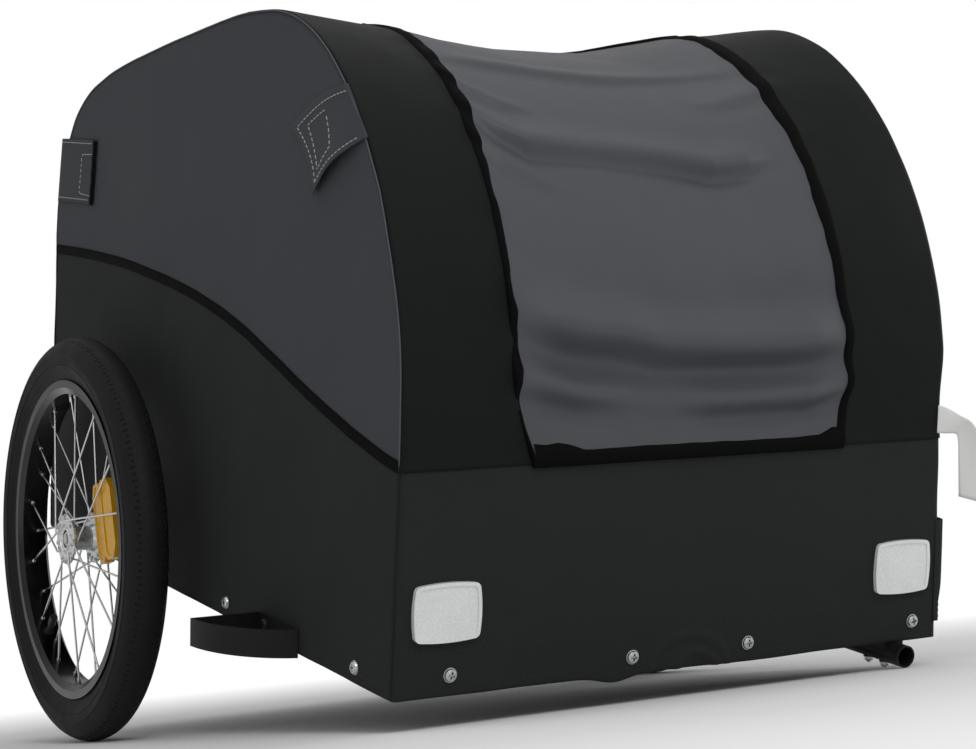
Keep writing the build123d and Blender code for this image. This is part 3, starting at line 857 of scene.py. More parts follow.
def stitches(name, runs, thread, size, pitch=None, share=0.62):
    """Rows of stitches: each run is its points along the cloth and the way out of it."""
    model = stitch_model()
    pitch = pitch or cover().stitch_pitch
    base = np.array([v.co for v in model.data.vertices])
    faces = [list(p.vertices) for p in model.data.polygons]
    remove(model)
    corners, polygons = [], []
    for points, out in runs:
        out = Vector(out)
        lengths = np.concatenate([[0.0], np.cumsum([(b - a).length for a, b in zip(points, points[1:])])])
        places = np.array(points)
        for k in range(int(lengths[-1] / pitch)):
            ends = [Vector([np.interp((k + f) * pitch, lengths, places[:, a]) for a in range(3)])
                    for f in (0.5 - share / 2, 0.5 + share / 2)]
            run = ends[1] - ends[0]
            aside = out.cross(run.normalized())
            turn = np.array([run, aside * size, out * size]).T
            start = len(corners)
            corners += [tuple(np.array((ends[0] + ends[1]) / 2) + turn @ c) for c in base]
            polygons += [[start + i for i in face] for face in faces]
    mesh = bpy.data.meshes.new(name)
    mesh.from_pydata(corners, [], polygons)
    mesh.update()
    mesh.transform(PARK)
    return finish_piece(linked(name, mesh), material(thread))


# ---------------------------------------------------------------- cover pieces
def arches(x, z):
    """Two nested arched puckers at the front's lower edge, where the cloth was pulled up."""
    total = 0.0
    for middle, radius, rise in ((0.012, 0.021, 0.0026), (0.004, 0.040, 0.0018)):
        distance = math.hypot(x - middle, (z + 0.004) * 1.25) - radius
        total += rise * math.exp(-((distance / 0.0045) ** 2))
    return total * smooth(0.062, 0.034, z) if z > 0.034 else total


def hem_dip(x):
    """The cloth's lower edge droops in a narrow and a wide place beside the middle."""
    narrow = 0.0055 * math.exp(-(((x + 0.070) / 0.020) ** 2))
    return -narrow - 0.0012 * math.exp(-(((x - 0.07) / 0.06) ** 2))


def front_place(u, v):
    s = v * OUTLINE.hem
    q = (2 * u - 1) * wrap(s)
    point = top_place(q, s)
    low = 1 - smooth(0.0, 0.05, s)
    if abs(q) < 0.26:
        swell = 0.0020 * math.sin(math.pi * v) * (1 - (q / 0.275) ** 2)
        point.y -= arches(q, s) + swell
        point.z += hem_dip(q) * low
    return point, (q, s)


def rear_place(u, v):
    s = OUTLINE.end - v * REAR_SEAM
    q = (2 * u - 1) * wrap(s)
    point = top_place(q, s)
    point.y += 0.006 * math.sin(math.pi * min(1.0, v * 0.95)) * max(0.0, 1 - (q / 0.275) ** 2)
    return point, (q, s)


def lower_side(sign):
    def place(u, v):
        front, back = cover().corner_radius, LENGTH - cover().corner_radius
        y = front + (back - front) * u
        z = v * soft_seam_height(y)
        return side_place(sign, y, z), (y, z)
    return place


def upper_side(sign):
    start, stop = OUTLINE.hem, OUTLINE.rear_seam

    def place(u, v):
        s = start + (stop - start) * u
        y, z, ny, nz = OUTLINE.at(s)
        drop = seam_drop(s) - hood_swell(sign * HALF_BASE, s)
        rim_y, rim_z = y - ny * drop, z - nz * drop
        corner = cover().corner_radius
        share = u + 0.35 * math.sin(2 * math.pi * u) / (2 * math.pi)
        foot_y = corner + (LENGTH - 2 * corner) * share
        foot_z = soft_seam_height(foot_y)
        here_y, here_z = foot_y + (rim_y - foot_y) * v, foot_z + (rim_z - foot_z) * v
        point = side_place(sign, here_y, here_z)
        if v > 0.8:
            meet = top_place(sign * wrap(s, sign), s) - side_place(sign, rim_y, rim_z)
            point += meet * smooth(0.8, 1.0, v)
        return point, (here_y, here_z)
    return place


def hood_place(low, high, draped=False):
    """The hood between two lines, each given as its place across at s along the outline."""
    def place(u, v):
        s = OUTLINE.hem + (OUTLINE.hood_end - OUTLINE.hem) * v - (0.0 if draped else 0.0015 * (1 - v))
        q = low(s) + (high(s) - low(s)) * u
        lift = folds(q, s) if draped else 0.0012 * (1 - smooth(0.0, 0.008, s - OUTLINE.hem))
        return top_place(q, s, lift), (q, s)
    return place


def outer_edge(sign):
    return lambda s: sign * wrap(s, sign)


def window_seam(sign):
    return lambda s: sign * window_half(s, sign)


def roof_place(u, v):
    s = OUTLINE.hood_end + (OUTLINE.rear_seam - OUTLINE.hood_end) * v
    low, high = -wrap(s, -1), wrap(s, 1)
    q = low + (high - low) * u
    return top_place(q, s), (q, s)


def front_point(x, height):
    """On the front panel, x from the middle and height over its lower edge."""
    return front_place((x / wrap(height) + 1) / 2, height / OUTLINE.hem)[0]


def rear_point(x, height):
    return rear_place((x / wrap(OUTLINE.end - height) + 1) / 2, height / REAR_SEAM)[0]


def build_lower_body():
    black = (cloth_black, "black_cloth")
    cloth_sheet("front_cloth", 170, 60, front_place, (0.556, OUTLINE.hem + 0.004), *black,
                replaces=("front_panel",), rests_on=("front_rail",))
    cloth_sheet("rear_cloth", 90, 60, rear_place, (0.556, REAR_SEAM + 0.004), *black,
                replaces=("rear_panel",), rests_on=("rear_rail",))
    for name, sign in SIDES:
        cloth_sheet("side_cloth_" + name, 190, 66, lower_side(sign), (LENGTH + 0.002, REAR_SEAM + 0.003),
                    *black, replaces=("side_panel_" + name,), rests_on=("side_rail_" + name,))


def build_cover_sides():
    for name, sign in SIDES:
        cloth_sheet("cover_side_cloth_" + name, 240, 44, upper_side(sign), (LENGTH + 0.002, 0.365),
                    cloth_grey, "grey_cloth", ("cover_side_" + name,))


def build_hood():
    length = OUTLINE.hood_end - OUTLINE.hem
    bands = (("right", outer_edge(-1), window_seam(-1)), ("left", window_seam(1), outer_edge(1)))
    for name, low, high in bands:
        cloth_sheet("hood_cloth_" + name, 40, 170, hood_place(low, high), (0.120, length),
                    cloth_hood, "hood_cloth", ("hood_band_" + name,))
    place = hood_place(window_seam(-1), window_seam(1), draped=True)
    cloth_sheet("window_cloth", 120, 260, place, (2 * WINDOW_HALF + 0.004, length * 1.03),
                cloth_window, "window_cloth", ("window_panel",))
    cloth_sheet("roof_cloth", 120, 150, roof_place, (0.556, OUTLINE.rear_seam - OUTLINE.hood_end + 0.01),
                cloth_grey, "grey_cloth", ("roof_panel",))


# widths of the window's tape up each side, by height over the hem, and along its foot, by place across
TAPE_WIDTHS = {-1: ((0.0, 0.0030), (0.030, 0.0032), (0.050, 0.0046), (0.075, 0.0090), (0.110, 0.0070),
                    (0.220, 0.0075), (0.290, 0.0125), (0.440, 0.0150)),
               1: ((0.0, 0.0125), (0.030, 0.0100), (0.060, 0.0085), (0.110, 0.0125), (0.230, 0.0140),
                   (0.320, 0.0185), (0.440, 0.0195))}
TAPE_FOOT = ((-0.152, 0.0160), (-0.142, 0.0147), (-0.131, 0.0160), (-0.121, 0.0139), (-0.107, 0.0087),
             (-0.044, 0.0090), (0.100, 0.0080), (0.132, 0.0090), (0.146, 0.0150))


def tape_edge(side, s):
    """Wavy inner and outer edges of the window's tape on one side, as distances from the middle."""
    height = s - OUTLINE.hem
    ripple = wander(s, side * 2.0, 0.034, 8) * 0.0028 + wander(s, side * 3.0, 0.013, 9) * 0.0009
    outer = window_half(s, side) + 0.0022 + 0.0012 * wander(s, side * 5.0, 0.05, 10)
    width = table(TAPE_WIDTHS[side], height) + ripple * smooth(0.03, 0.10, height)
    return outer - width, outer


def tape_column(side):
    def place(u, v):
        s = OUTLINE.hem - 0.004 + (OUTLINE.hood_end - OUTLINE.hem + 0.004) * v
        inner, outer = tape_edge(side, s)
        across = inner + (outer - inner) * u
        arch = 0.0014 * math.sin(math.pi * u) ** 0.5 + 0.0006 * wander(s, side * across, 0.016, 11)
        edge = 0.0006 if 0 < u < 1 else -0.0006
        seam = window_half(s, side)
        past = smooth(seam, outer + 0.001, across)
        lift = folds(side * min(across, seam), s) * (1 - 0.7 * past)
        return top_place(side * across, s, lift + edge + arch), (s, side * across)
    return place


def tape_foot(u, v):
    low, high = -window_half(OUTLINE.hem, -1) - 0.001, window_half(OUTLINE.hem, 1) + 0.001
    x = low + (high - low) * u
    tall = table(TAPE_FOOT, x) + 0.0008 * wander(x, 0.0, 0.02, 12)
    s = OUTLINE.hem - 0.0045 + (tall + 0.0045) * v
    arch = 0.0015 * math.sin(math.pi * v) ** 0.5
    edge = 0.0008 if 0 < v < 1 else -0.0004
    return top_place(x, s, folds(x, max(s, OUTLINE.hem)) + edge + arch), (x, s)


# how far behind the apex the window's top tape may run, by place across from the middle
TAPE_TOP = ((0.0, 0.0560), (0.062, 0.0540), (0.085, 0.0400), (0.105, 0.0200), (0.130, 0.0020),
            (0.168, -0.0100))


def tape_apex(u, v):
    """Tape that lies on the roof's seam and comes forward of it towards both bindings."""
    x = (2 * u - 1) * WINDOW_HALF
    middle = sum(table(TAPE_TOP, abs(x + 0.004 * k)) for k in range(-3, 4)) / 7
    s = min(OUTLINE.apex + middle, OUTLINE.hood_end) + (v - 0.5) * 0.011
    arch = 0.0022 * math.sin(math.pi * v) ** 0.5 * smooth(0.06, 0.12, abs(x))
    edge = 0.0006 if 0 < v < 1 else -0.0006
    return top_place(x, s, folds(x, s) + edge + arch), (x, s)


def build_bindings():
    wide = cover().binding_width
    for name, side in SIDES:
        strip = grid_piece("window_tape_" + name, 6, 260, tape_column(side))
        finish_piece(strip, material(tape))
    finish_piece(grid_piece("window_tape_apex", 120, 6, tape_apex), material(tape))
    foot = grid_piece("window_tape_foot", 150, 6, tape_foot)
    finish_piece(foot, material(tape), replaces=("window_binding",))
    for name, sign in SIDES:
        ys = np.linspace(0.004, LENGTH - 0.004, 150)
        points = [side_place(sign, y, soft_seam_height(y), 0.0004) for y in ys]
        ribbon("side_seam_tape_" + name, points, (sign, 0, 0), wide, 0.0009)
    reach = wrap(OUTLINE.rear_seam)
    points = [top_place(q, OUTLINE.rear_seam, 0.0004 + 0.0045 * max(0, 1 - (q / 0.275) ** 2))
              for q in np.linspace(-reach, reach, 60)]
    ribbon("rear_seam_tape", points, (0, 1, 0), wide, 0.0011)
    reach = wrap(OUTLINE.hood_end) - 0.008
    points = [top_place(q, OUTLINE.hood_end, 0.0002) for q in np.linspace(-reach, reach, 80)]
    ribbon("roof_seam_tape", points, (0, 0, 1), wide, 0.0010)


def build_welts():
    """Corded seams where the top cloth meets the sides, and down the upright corners."""
    corners = (("front", 0.002, OUTLINE.hem), ("rear", OUTLINE.rear_seam, OUTLINE.end - 0.002))
    for name, sign in SIDES:
        points = [top_place(sign * wrap(s, sign), s, 0.0002)
                  for s in np.linspace(OUTLINE.hem, OUTLINE.rear_seam, 260)]
        # the cover welts' paler colour is a painted highlight along the roof's edge
        welt("cover_welt_" + name, points, cloth_piping)
        for end, low, high in corners:
            points = [top_place(sign * wrap(s), s) for s in np.linspace(low, high, 60)]
            welt(f"{end}_corner_welt_{name}", points, cloth_black)


# heights of the hem's two rows of stitches, and how far they run from the middle across the ends
HEM_ROWS = (0.0365, 0.0085)
HEM_REACH = 0.268


def build_seam_stitches():
    across = np.linspace(-HEM_REACH, HEM_REACH, 80)
    back = np.linspace(0.008, LENGTH - 0.008, 90)
    runs = [([front_point(x, row) for x in across], (0, -1, 0)) for row in HEM_ROWS]
    for _, sign in SIDES:
        runs += [([side_place(sign, y, row) for y in back], (sign, 0, 0)) for row in HEM_ROWS]
    runs += [([rear_point(x, row) for x in across], (0, 1, 0)) for row in HEM_ROWS]
    stitches("hem_stitches", runs, dark_thread, 0.0007)


# ---------------------------------------------------------------- tabs, sleeve and tag
# the front tab's corners as (back, up), and the runs of stitches on both tabs in shares of each
FRONT_TAB = ((0.0795, 0.4385), (0.173, 0.389), (0.226, 0.444), (0.1195, 0.481))
FRONT_TAB_RUNS = (((0.05, 0.88), (0.92, 0.92), (0.91, 0.09), (0.06, 0.07)),
                  ((0.46, 0.79), (0.78, 0.82), (0.83, 0.20), (0.51, 0.27), (0.46, 0.79)))
REAR_TAB_RUNS = (((0.06, 0.945), (0.95, 0.945)), ((0.06, 0.065), (0.95, 0.065)),
                 ((0.96, 0.78), (0.745, 0.77), (0.735, 0.16), (0.96, 0.13)))


def front_tab_place(sign, lift=0.0):
    """The tab sewn into the hood seam: its lower edge stands off the side."""
    def place(u, v):
        a, b, c, d = (Vector(p) for p in FRONT_TAB)
        point = a.lerp(b, u).lerp(d.lerp(c, u), v)
        bow = math.sin(math.pi * u)
        point.y += 0.0075 * bow * v ** 1.5 + 0.0040 * bow * (1 - v) ** 1.5
        point.x -= 0.0120 * math.sin(math.pi * v) * u ** 2
        off = 0.0012 + 0.0070 * bow ** 0.9 * (1 - v) ** 2 + 0.0022 * u * (1 - v)
        off += 0.0004 * wander(u, v, 0.4, 20)
        return side_place(sign, point.x, point.y, off + lift), (0.105 * u, 0.062 * v)
    return place


def rear_tab_place(sign, lift=0.0):
    """The tab that wraps the rear corner: u runs forwards along the side from the back panel."""
    back, side, tall, corner = 0.036, 0.101, 0.067, 0.011
    turn = math.pi / 2 * corner

    def place(u, v):
        run = u * (back + turn + side)
        z = 0.3575 + tall * v
        behind = LENGTH + 0.0005 - 0.010 * v
        beside = half_width(z) + 0.0024
        bent = min(max(run - back, 0.0), turn) / corner
        x = beside - corner * (1 - math.sin(bent)) - max(0.0, back - run)
        y = behind - corner * (1 - math.cos(bent))
        if run < back:
            sewn = OUTLINE.behind(z) + 0.0026
            y += (sewn - y) * smooth(back, 0.0, run)
        elif run > back + turn:
            ahead = run - back - turn
            y -= ahead
            close = side_place(sign, y, z, 0.0016 + 0.0007 * wander(ahead, v, 0.03, 21)).x * sign
            x += (close - x) * smooth(0.0, 0.05, ahead)
        out = Vector((math.sin(bent), math.cos(bent), 0))
        return Vector((sign * (x + lift * out.x), y + lift * out.y, z)), (run, tall * v)
    return place


def along_surface(place, corners, steps=24):
    """Points along straight runs between corners of a place function."""
    found = []
    for (u0, v0), (u1, v1) in zip(corners, corners[1:]):
        for k in range(steps):
            t = k / steps
            found.append(place(u0 + (u1 - u0) * t, v0 + (v1 - v0) * t)[0])
    found.append(place(*corners[-1])[0])
    return found


def build_tabs():
    runs = []
    for name, sign in SIDES:
        cloth_sheet("front_tab_cloth_" + name, 40, 28, front_tab_place(sign), (0.110, 0.070),
                    cloth_tab, "tab_cloth", ("front_tab_" + name,), 0.0011)
        cloth_sheet("rear_tab_cloth_" + name, 64, 20, rear_tab_place(sign), (0.140, 0.072),
                    cloth_tab, "tab_cloth", ("rear_tab_" + name,), 0.0012)
        for place, tab_runs in ((front_tab_place, FRONT_TAB_RUNS), (rear_tab_place, REAR_TAB_RUNS)):
            top = place(sign, 0.0003)
            runs += [(along_surface(top, corners), (sign, 0, 0)) for corners in tab_runs]
        points = [rear_tab_place(sign, 0.0002)(0.985, v)[0] for v in np.linspace(0.0, 1.0, 12)]
        ribbon("rear_tab_hook_tape_" + name, points, (sign, 0, 0), 0.008, 0.0016)
    stitches("tab_stitches", runs, pale_thread, 0.0010, pitch=0.0060, share=0.66)


# the sleeve's section seen from above, from the front face round the corner: (off the side, back, 0)
SLEEVE = ((-0.0045, -0.0011, 0), (0.0056, -0.0007, 0), (0.0090, 0.008, 0), (0.0108, 0.020, 0),
          (0.0080, 0.033, 0), (0.0014, 0.041, 0))
SLEEVE_LOW, SLEEVE_HIGH = 0.015, 0.107


def sleeve_place(u, v):
    section = along(SLEEVE, u, 0.09)
    z = SLEEVE_LOW + (SLEEVE_HIGH - SLEEVE_LOW) * v
    proud = section.x
    if proud > 0:
        proud = max(0.0012, proud * (0.10 + 0.90 * smooth(0.0, 0.42, v)))
    x = half_width(z) + proud + 0.0004 * wander(section.y, z, 0.02, 30)
    return Vector((x, section.y, z)), (u * 0.056, z)


def build_sleeve():
    """Small sewn sleeve low on the left, round the front corner and open at its top."""
    cloth_sheet("sleeve_cloth", 44, 40, sleeve_place, (0.058, 0.097), cloth_black, "hood_cloth",
                ("side_sleeve",), 0.0011)
    up, across = np.linspace(0.02, 0.98, 30), np.linspace(0.30, 0.95, 30)
    runs = [([sleeve_place(u, v)[0] for v in up], out) for u, out in ((0.10, (0, -1, 0)), (0.93, (1, 0, 0)))]
    runs.append(([sleeve_place(u, 0.04)[0] for u in across], (1, 0, 0)))
    stitches("sleeve_stitches", runs, dark_thread, 0.0006)


# the care tag's two edges from the corner seam on, as (out from the corner, back, up)
TAG_INNER = ((-0.006, -0.0016, 0.1865), (0.004, -0.0032, 0.1855), (0.0135, -0.0040, 0.1860),
             (0.0168, -0.0042, 0.1820), (0.0180, -0.0042, 0.1620), (0.0200, -0.0045, 0.1280))
TAG_OUTER = ((-0.006, -0.0016, 0.2115), (0.004, -0.0045, 0.2085), (0.0150, -0.0090, 0.2010),
             (0.0270, -0.0135, 0.1960), (0.0360, -0.0160, 0.1740), (0.0420, -0.0173, 0.1215))


def tag_place(u, v):
    edge = along(TAG_INNER, v, 0.11).lerp(along(TAG_OUTER, v, 0.11), u)
    edge.y -= 0.0014 * math.sin(math.pi * u) * math.sin(2.2 * math.pi * v)
    return edge + Vector((half_width(0.19), 0, 0)), (0.026 * u, 0.100 * v)


def build_tag():
    """Blank satin care tag, caught in the left corner seam: a stub that folds over and hangs."""
    cloth_sheet("care_tag", 10, 48, tag_place, (0.026, 0.100), tag_satin, "tab_cloth", thickness=0.0004,
                held="hung", rests_on=("side_panel_left",), outward=lambda centre: Vector((-1, -1, 0.2)))


# ---------------------------------------------------------------- screws and bolts
def ease_edges(piece, width):
    bevel = piece.modifiers.new("eased", "BEVEL")
    bevel.width = width
    bevel.segments = 2
    bevel.limit_method = "ANGLE"
    apply_modifiers(piece)


def cross_cutter(size):
    """A tapered cross for a screw's drive recess."""
    select_none()
    arms = []
    for turn in (0, math.pi / 2):
        bpy.ops.mesh.primitive_cube_add(size=1, location=(0, 0, 0), rotation=(0, 0, turn))
        bpy.ops.transform.resize(value=(size * 0.62, size * 0.17, size * 0.5))
        arms.append(added("arm"))
        if turn:
            arms[-1].rotation_euler = (0, 0, turn)
            arms[-1].scale = (size * 0.62, size * 0.17, size * 0.5)
    for arm in arms:
        only(arm)
        bpy.ops.object.transform_apply(location=True, rotation=True, scale=True)
    return arms


def pan_screw(name, radius):
    """A pan-head screw with a flange and a cross recess, its seat on Z = 0."""
    select_none()
    bpy.ops.mesh.primitive_cylinder_add(vertices=40, radius=radius, depth=0.0008, location=(0, 0, 0.0004))
    piece = added(name)
    bpy.ops.object.transform_apply(location=True)
    bpy.ops.object.mode_set(mode="EDIT")
    bpy.ops.mesh.select_all(action="DESELECT")
    bpy.ops.object.mode_set(mode="OBJECT")
    for face in piece.data.polygons:
        face.select = face.normal.z > 0.9
    bpy.ops.object.mode_set(mode="EDIT")
    bpy.ops.mesh.inset(thickness=radius * 0.10, depth=0.0)
    for rise, grow in ((0.0012, 0.97), (0.0009, 0.90), (0.0005, 0.72), (0.0002, 0.5)):
        bpy.ops.mesh.extrude_region_move(TRANSFORM_OT_translate={"value": (0, 0, rise)})
        bpy.ops.transform.resize(value=(grow, grow, 1))
    bpy.ops.object.mode_set(mode="OBJECT")
    for arm in cross_cutter(radius * 1.6):
        arm.location = (0, 0, 0.0030)
        cut = piece.modifiers.new("recess", "BOOLEAN")
        cut.object = arm
        cut.operation = "DIFFERENCE"
        cut.solver = "EXACT"
        apply_modifiers(piece)
        remove(arm)
    bevel = piece.modifiers.new("eased", "BEVEL")
    bevel.width = 0.00015
    bevel.segments = 2
    bevel.limit_method = "ANGLE"
    apply_modifiers(piece)
    return piece


def facing_place(point, out, spin=0.0):
    """Seats a piece made on Z = 0 at a point in the level frame, facing out."""
    turn = Vector(out).to_track_quat("Z", "Y").to_matrix().to_4x4()
    return PARK @ Matrix.Translation(Vector(point)) @ turn @ Matrix.Rotation(spin, 4, "Z")


# the hem screws' places across the ends and their heights, and how far back the others are on each side
END_SCREWS = ((-0.225, 0.0170), (-0.053, 0.0165), (0.065, 0.0160), (0.246, 0.0175))
SIDE_SCREWS = (0.067, 0.332, 0.480, 0.760)
SIDE_SCREW_HEIGHT = 0.0130
GUARD_SCREWS = (0.187, 0.239)
GUARD_SCREW_HEIGHT = 0.0120
GUARD_FACE = 0.0003 + 0.0025


def screw_seats():
    """Where the cover is screwed to the rails."""
    seats = []
    for x, z in END_SCREWS:
        seats.append((front_point(x, z), (0, -1, 0)))
        seats.append((rear_point(x, z), (0, 1, 0)))
    for _, sign in SIDES:
        seats += [(side_place(sign, y, SIDE_SCREW_HEIGHT), (sign, 0, 0)) for y in SIDE_SCREWS]
    return seats


def build_screws():
    """The hem's zinc screws, each turned a little differently, and the guards' black ones."""
    model = pan_screw("screw_model", fittings().screw_radius)
    copies = [copy_of(model, facing_place(point, out, 0.15 * ((3 * k) % 5 - 2)))
              for k, (point, out) in enumerate(screw_seats())]
    finish_piece(join(copies, "screws"), material(zinc_plate), angle=35)
    copies = []
    for _, sign in SIDES:
        for y in GUARD_SCREWS:
            point = (sign * (half_width(0) + GUARD_FACE), y, GUARD_SCREW_HEIGHT)
            copies.append(copy_of(model, facing_place(point, (sign, 0, 0), 0.9)))
    remove(model)
    finish_piece(join(copies, "guard_screws"), material(powder_coat), angle=35)


def hex_bolt(name, across, head, shank, length):
    """A hex head, a washer and a threaded shank of stacked cones, along +Z from its seat."""
    select_none()
    bpy.ops.mesh.primitive_cylinder_add(vertices=6, radius=across / math.sqrt(3), depth=head,
                                        location=(0, 0, head / 2 + 0.0008))
    nut = settle(added("nut"))
    ease_edges(nut, 0.0004)
    select_none()
    bpy.ops.mesh.primitive_cylinder_add(vertices=28, radius=across * 0.72, depth=0.0008,
                                        location=(0, 0, 0.0004))
    parts = [nut, settle(added("washer"))]
    turns = 10
    for k in range(turns):
        select_none()
        bpy.ops.mesh.primitive_cone_add(vertices=18, radius1=shank, radius2=shank * 0.84,
                                        depth=length / turns, location=(0, 0, (k + 0.5) * length / turns))
        parts.append(settle(added("thread")))
    return join(parts, name)


# the saddle's two bolts as (back, up)
SOCKET_BOLTS = ((0.0125, -0.0203), (0.0345, -0.0203))


def build_socket_bolts():
    """The two bolts that hang through the tow socket's saddle."""
    model = hex_bolt("bolt_model", 0.0070, 0.0032, 0.0020, 0.0056)
    copies = [copy_of(model, facing_place((SOCKET_MOUTH.x, y, z), (0, 0, -1), y * 40))
              for y, z in SOCKET_BOLTS]
    remove(model)
    finish_piece(join(copies, "socket_bolts"), material(zinc_plate), angle=35)


# ---------------------------------------------------------------- wheels
def wheel_place(name, sign):
    """From the wheel's own frame, +X inboard along its axle, to its place; the left one is mirrored."""
    joint = next(j for j in frame["joints"] if j["child"] == "wheel_" + name)
    inboard = Vector(joint["axis"]) * -sign
    up = park_turn.to_3x3() @ Vector((0, 0, 1))
    y_axis = up.cross(inboard).normalized()
    z_axis = inboard.cross(y_axis)
    if sign > 0:
        y_axis = -y_axis
    turn = Matrix((inboard, y_axis, z_axis)).transposed().to_4x4()
    return Matrix.Translation(Vector(joint["pos_m"])) @ turn


# the tyre's radius, half its width, and its beads as (off the middle, from the axle)
TYRE_OUTER = 0.200
TYRE_HALF = 0.02125
BEAD = (0.0124, 0.1532)


def tread_rows():
    """Angles across the tyre from its crown, closer together where the skin is cut or ridged."""
    half = [0.0, 5.0, 9.0, 10.5, 15.0, 19.5, 21.0, 25.0, 29.0, 30.5, 35.0, 36.5, 41.0, 43.0, 50.0, 58.0,
            66.0, 74.0, 79.5, 81.0, 83.0, 84.5, 92.0, 100.0, 104.0, 105.5, 107.0, 108.5, 116.0, 124.0, 131.0]
    return [-a for a in reversed(half[1:])] + half


# places round one tread block as shares of its pitch, and which of them the two cuts take
COLUMNS = (0.0, 0.05, 0.10, 0.20, 0.26, 0.50, 0.55, 0.60, 0.70, 0.76, 1.0)
CUTS = ((2, 3), (7, 8))


def groove(angle, column):
    """How deep the skin is cut: slim sipes beside the crown, scallops down the shoulders."""
    across = abs(angle)
    near, far = CUTS if angle >= 0 else CUTS[::-1]
    if 10.0 < across < 20.0:
        return 0.30 if column in near else 0.0
    if 30.0 < across < 42.0:
        return 1.0 if column in far or (column in near and across < 36.0) else 0.0
    return 0.0


def tyre_section(angle, cut):
    """Across and outwards on the tyre's skin at an angle from its crown."""
    a = math.radians(angle)
    centre = TYRE_OUTER - TYRE_HALF
    radius = TYRE_HALF - cut
    across, out = radius * math.sin(a), centre + radius * math.cos(a)
    ridge = 0.0006 if 80.0 < abs(angle) < 84.0 or 105.0 < abs(angle) < 107.5 else 0.0
    scale = 1 + ridge / TYRE_HALF
    return across * scale, centre + (out - centre) * scale


def build_tyres():
    settings = wheels()
    rows = tread_rows()
    blocks = settings.tread_blocks
    pitch = 2 * math.pi / blocks
    last = len(rows) - 1

    def place(u, v):
        column = round(u * (len(COLUMNS) - 1))
        row = round(v * (last + 4)) - 2
        if 0 <= row <= last:
            cut = settings.tread_depth * groove(rows[row], column % (len(COLUMNS) - 1))
            across, out = tyre_section(rows[row], cut)
        else:
            side = -1 if row < 0 else 1
            deep = 0 if row in (-1, last + 1) else 1
            across, out = (side * BEAD[0] * (1 - 0.25 * deep), BEAD[1] - 0.001 * (1 - deep) + 0.004 * deep)
        turn = COLUMNS[column] * pitch
        point = Vector((across, out * math.cos(turn), out * math.sin(turn)))
        return point, (turn * TYRE_OUTER, across)

    segment = grid_piece("tyre_model", len(COLUMNS) - 1, last + 4, place, lambda centre: centre, None)
    only(segment)
    bpy.ops.object.mode_set(mode="EDIT")
    bpy.ops.mesh.select_all(action="SELECT")
    bpy.ops.mesh.spin(steps=blocks - 1, dupli=True, angle=2 * math.pi - pitch, center=(0, 0, 0),
                      axis=(1, 0, 0))
    bpy.ops.mesh.select_all(action="SELECT")
    bpy.ops.mesh.remove_doubles(threshold=0.00001)
    bpy.ops.mesh.select_all(action="DESELECT")
    bpy.ops.mesh.select_non_manifold(extend=False)
    bpy.ops.mesh.bridge_edge_loops()
    bpy.ops.mesh.select_all(action="SELECT")
    bpy.ops.mesh.normals_make_consistent(inside=False)
    bpy.ops.object.mode_set(mode="OBJECT")
    for name, sign in SIDES:
        tyre = copy_of(segment, wheel_place(name, sign))
        tyre.name = tyre.data.name = "tyre_tread_" + name
        finish_piece(tyre, material(rubber), "wheel_" + name, ("tyre_" + name,), angle=28)
    remove(segment)


# ---------------------------------------------------------------- finishes of the solid pieces
def both(*names):
    return tuple(f"{name}_{side}" for name in names for side, _ in SIDES)


FINISHES = (
    (powder_coat, ("front_rail", "front_cross_rail", "axle_cross_rail", "rear_rail", "tow_socket",
                   "socket_saddle_front", "socket_saddle_rear",
                   *both("side_rail", "axle_bracket", "wheel_guard"))),
    (floor_ply, ("floor_board",)),
    (rim_anodised, both("rim")),
    (turned_alloy, both("hub")),
    (bright_steel, both("spokes")),
    (zinc_plate, both("stub_axle")),
    (black_plastic, both("valve")),
    (amber_lens, both("spoke_reflector")),
    (clear_lens, both("front_reflector")),
    (red_lens, both("rear_reflector")),
)


def finish_solids():
    for build, nodes in FINISHES:
        for node in nodes:
            materials = frame["nodes"][node].data.materials
            materials.clear()
            materials.append(material(build))


# ---------------------------------------------------------------- studio
def build_floor():
    select_none()
    bpy.ops.mesh.primitive_circle_add(vertices=96, radius=16, fill_type="NGON", location=(0, 0, -0.0002))
    floor = added("studio_floor")
    r = Recipe("studio_floor", (0.82, 0.82, 0.82), 0.9, specular=0.1)
    centre = r.coordinates("Object", (1, 1, 0))
    length = r.add("ShaderNodeVectorMath", operation="LENGTH")
    r.link(centre, length.inputs[0])
    far = r.span(length.outputs["Value"], 0.7, 1.7, 0, 1)
    path = r.add("ShaderNodeLightPath")
    seen = r.math("MAXIMUM", path.outputs["Is Camera Ray"], path.outputs["Is Glossy Ray"])
    seen = r.math("MAXIMUM", seen, path.outputs["Is Transmission Ray"])
    white = r.add("ShaderNodeEmission")
    white.inputs["Color"].default_value = (1, 1, 1, 1)
    blend = r.add("ShaderNodeMixShader")
    r.link(r.math("MULTIPLY", far, seen), blend.inputs["Fac"])
    r.link(r.shader.outputs["BSDF"], blend.inputs[1])
    r.link(white.outputs["Emission"], blend.inputs[2])
    r.link(blend.outputs["Shader"], r.nodes["Material Output"].inputs["Surface"])
    floor.data.materials.append(r.material)


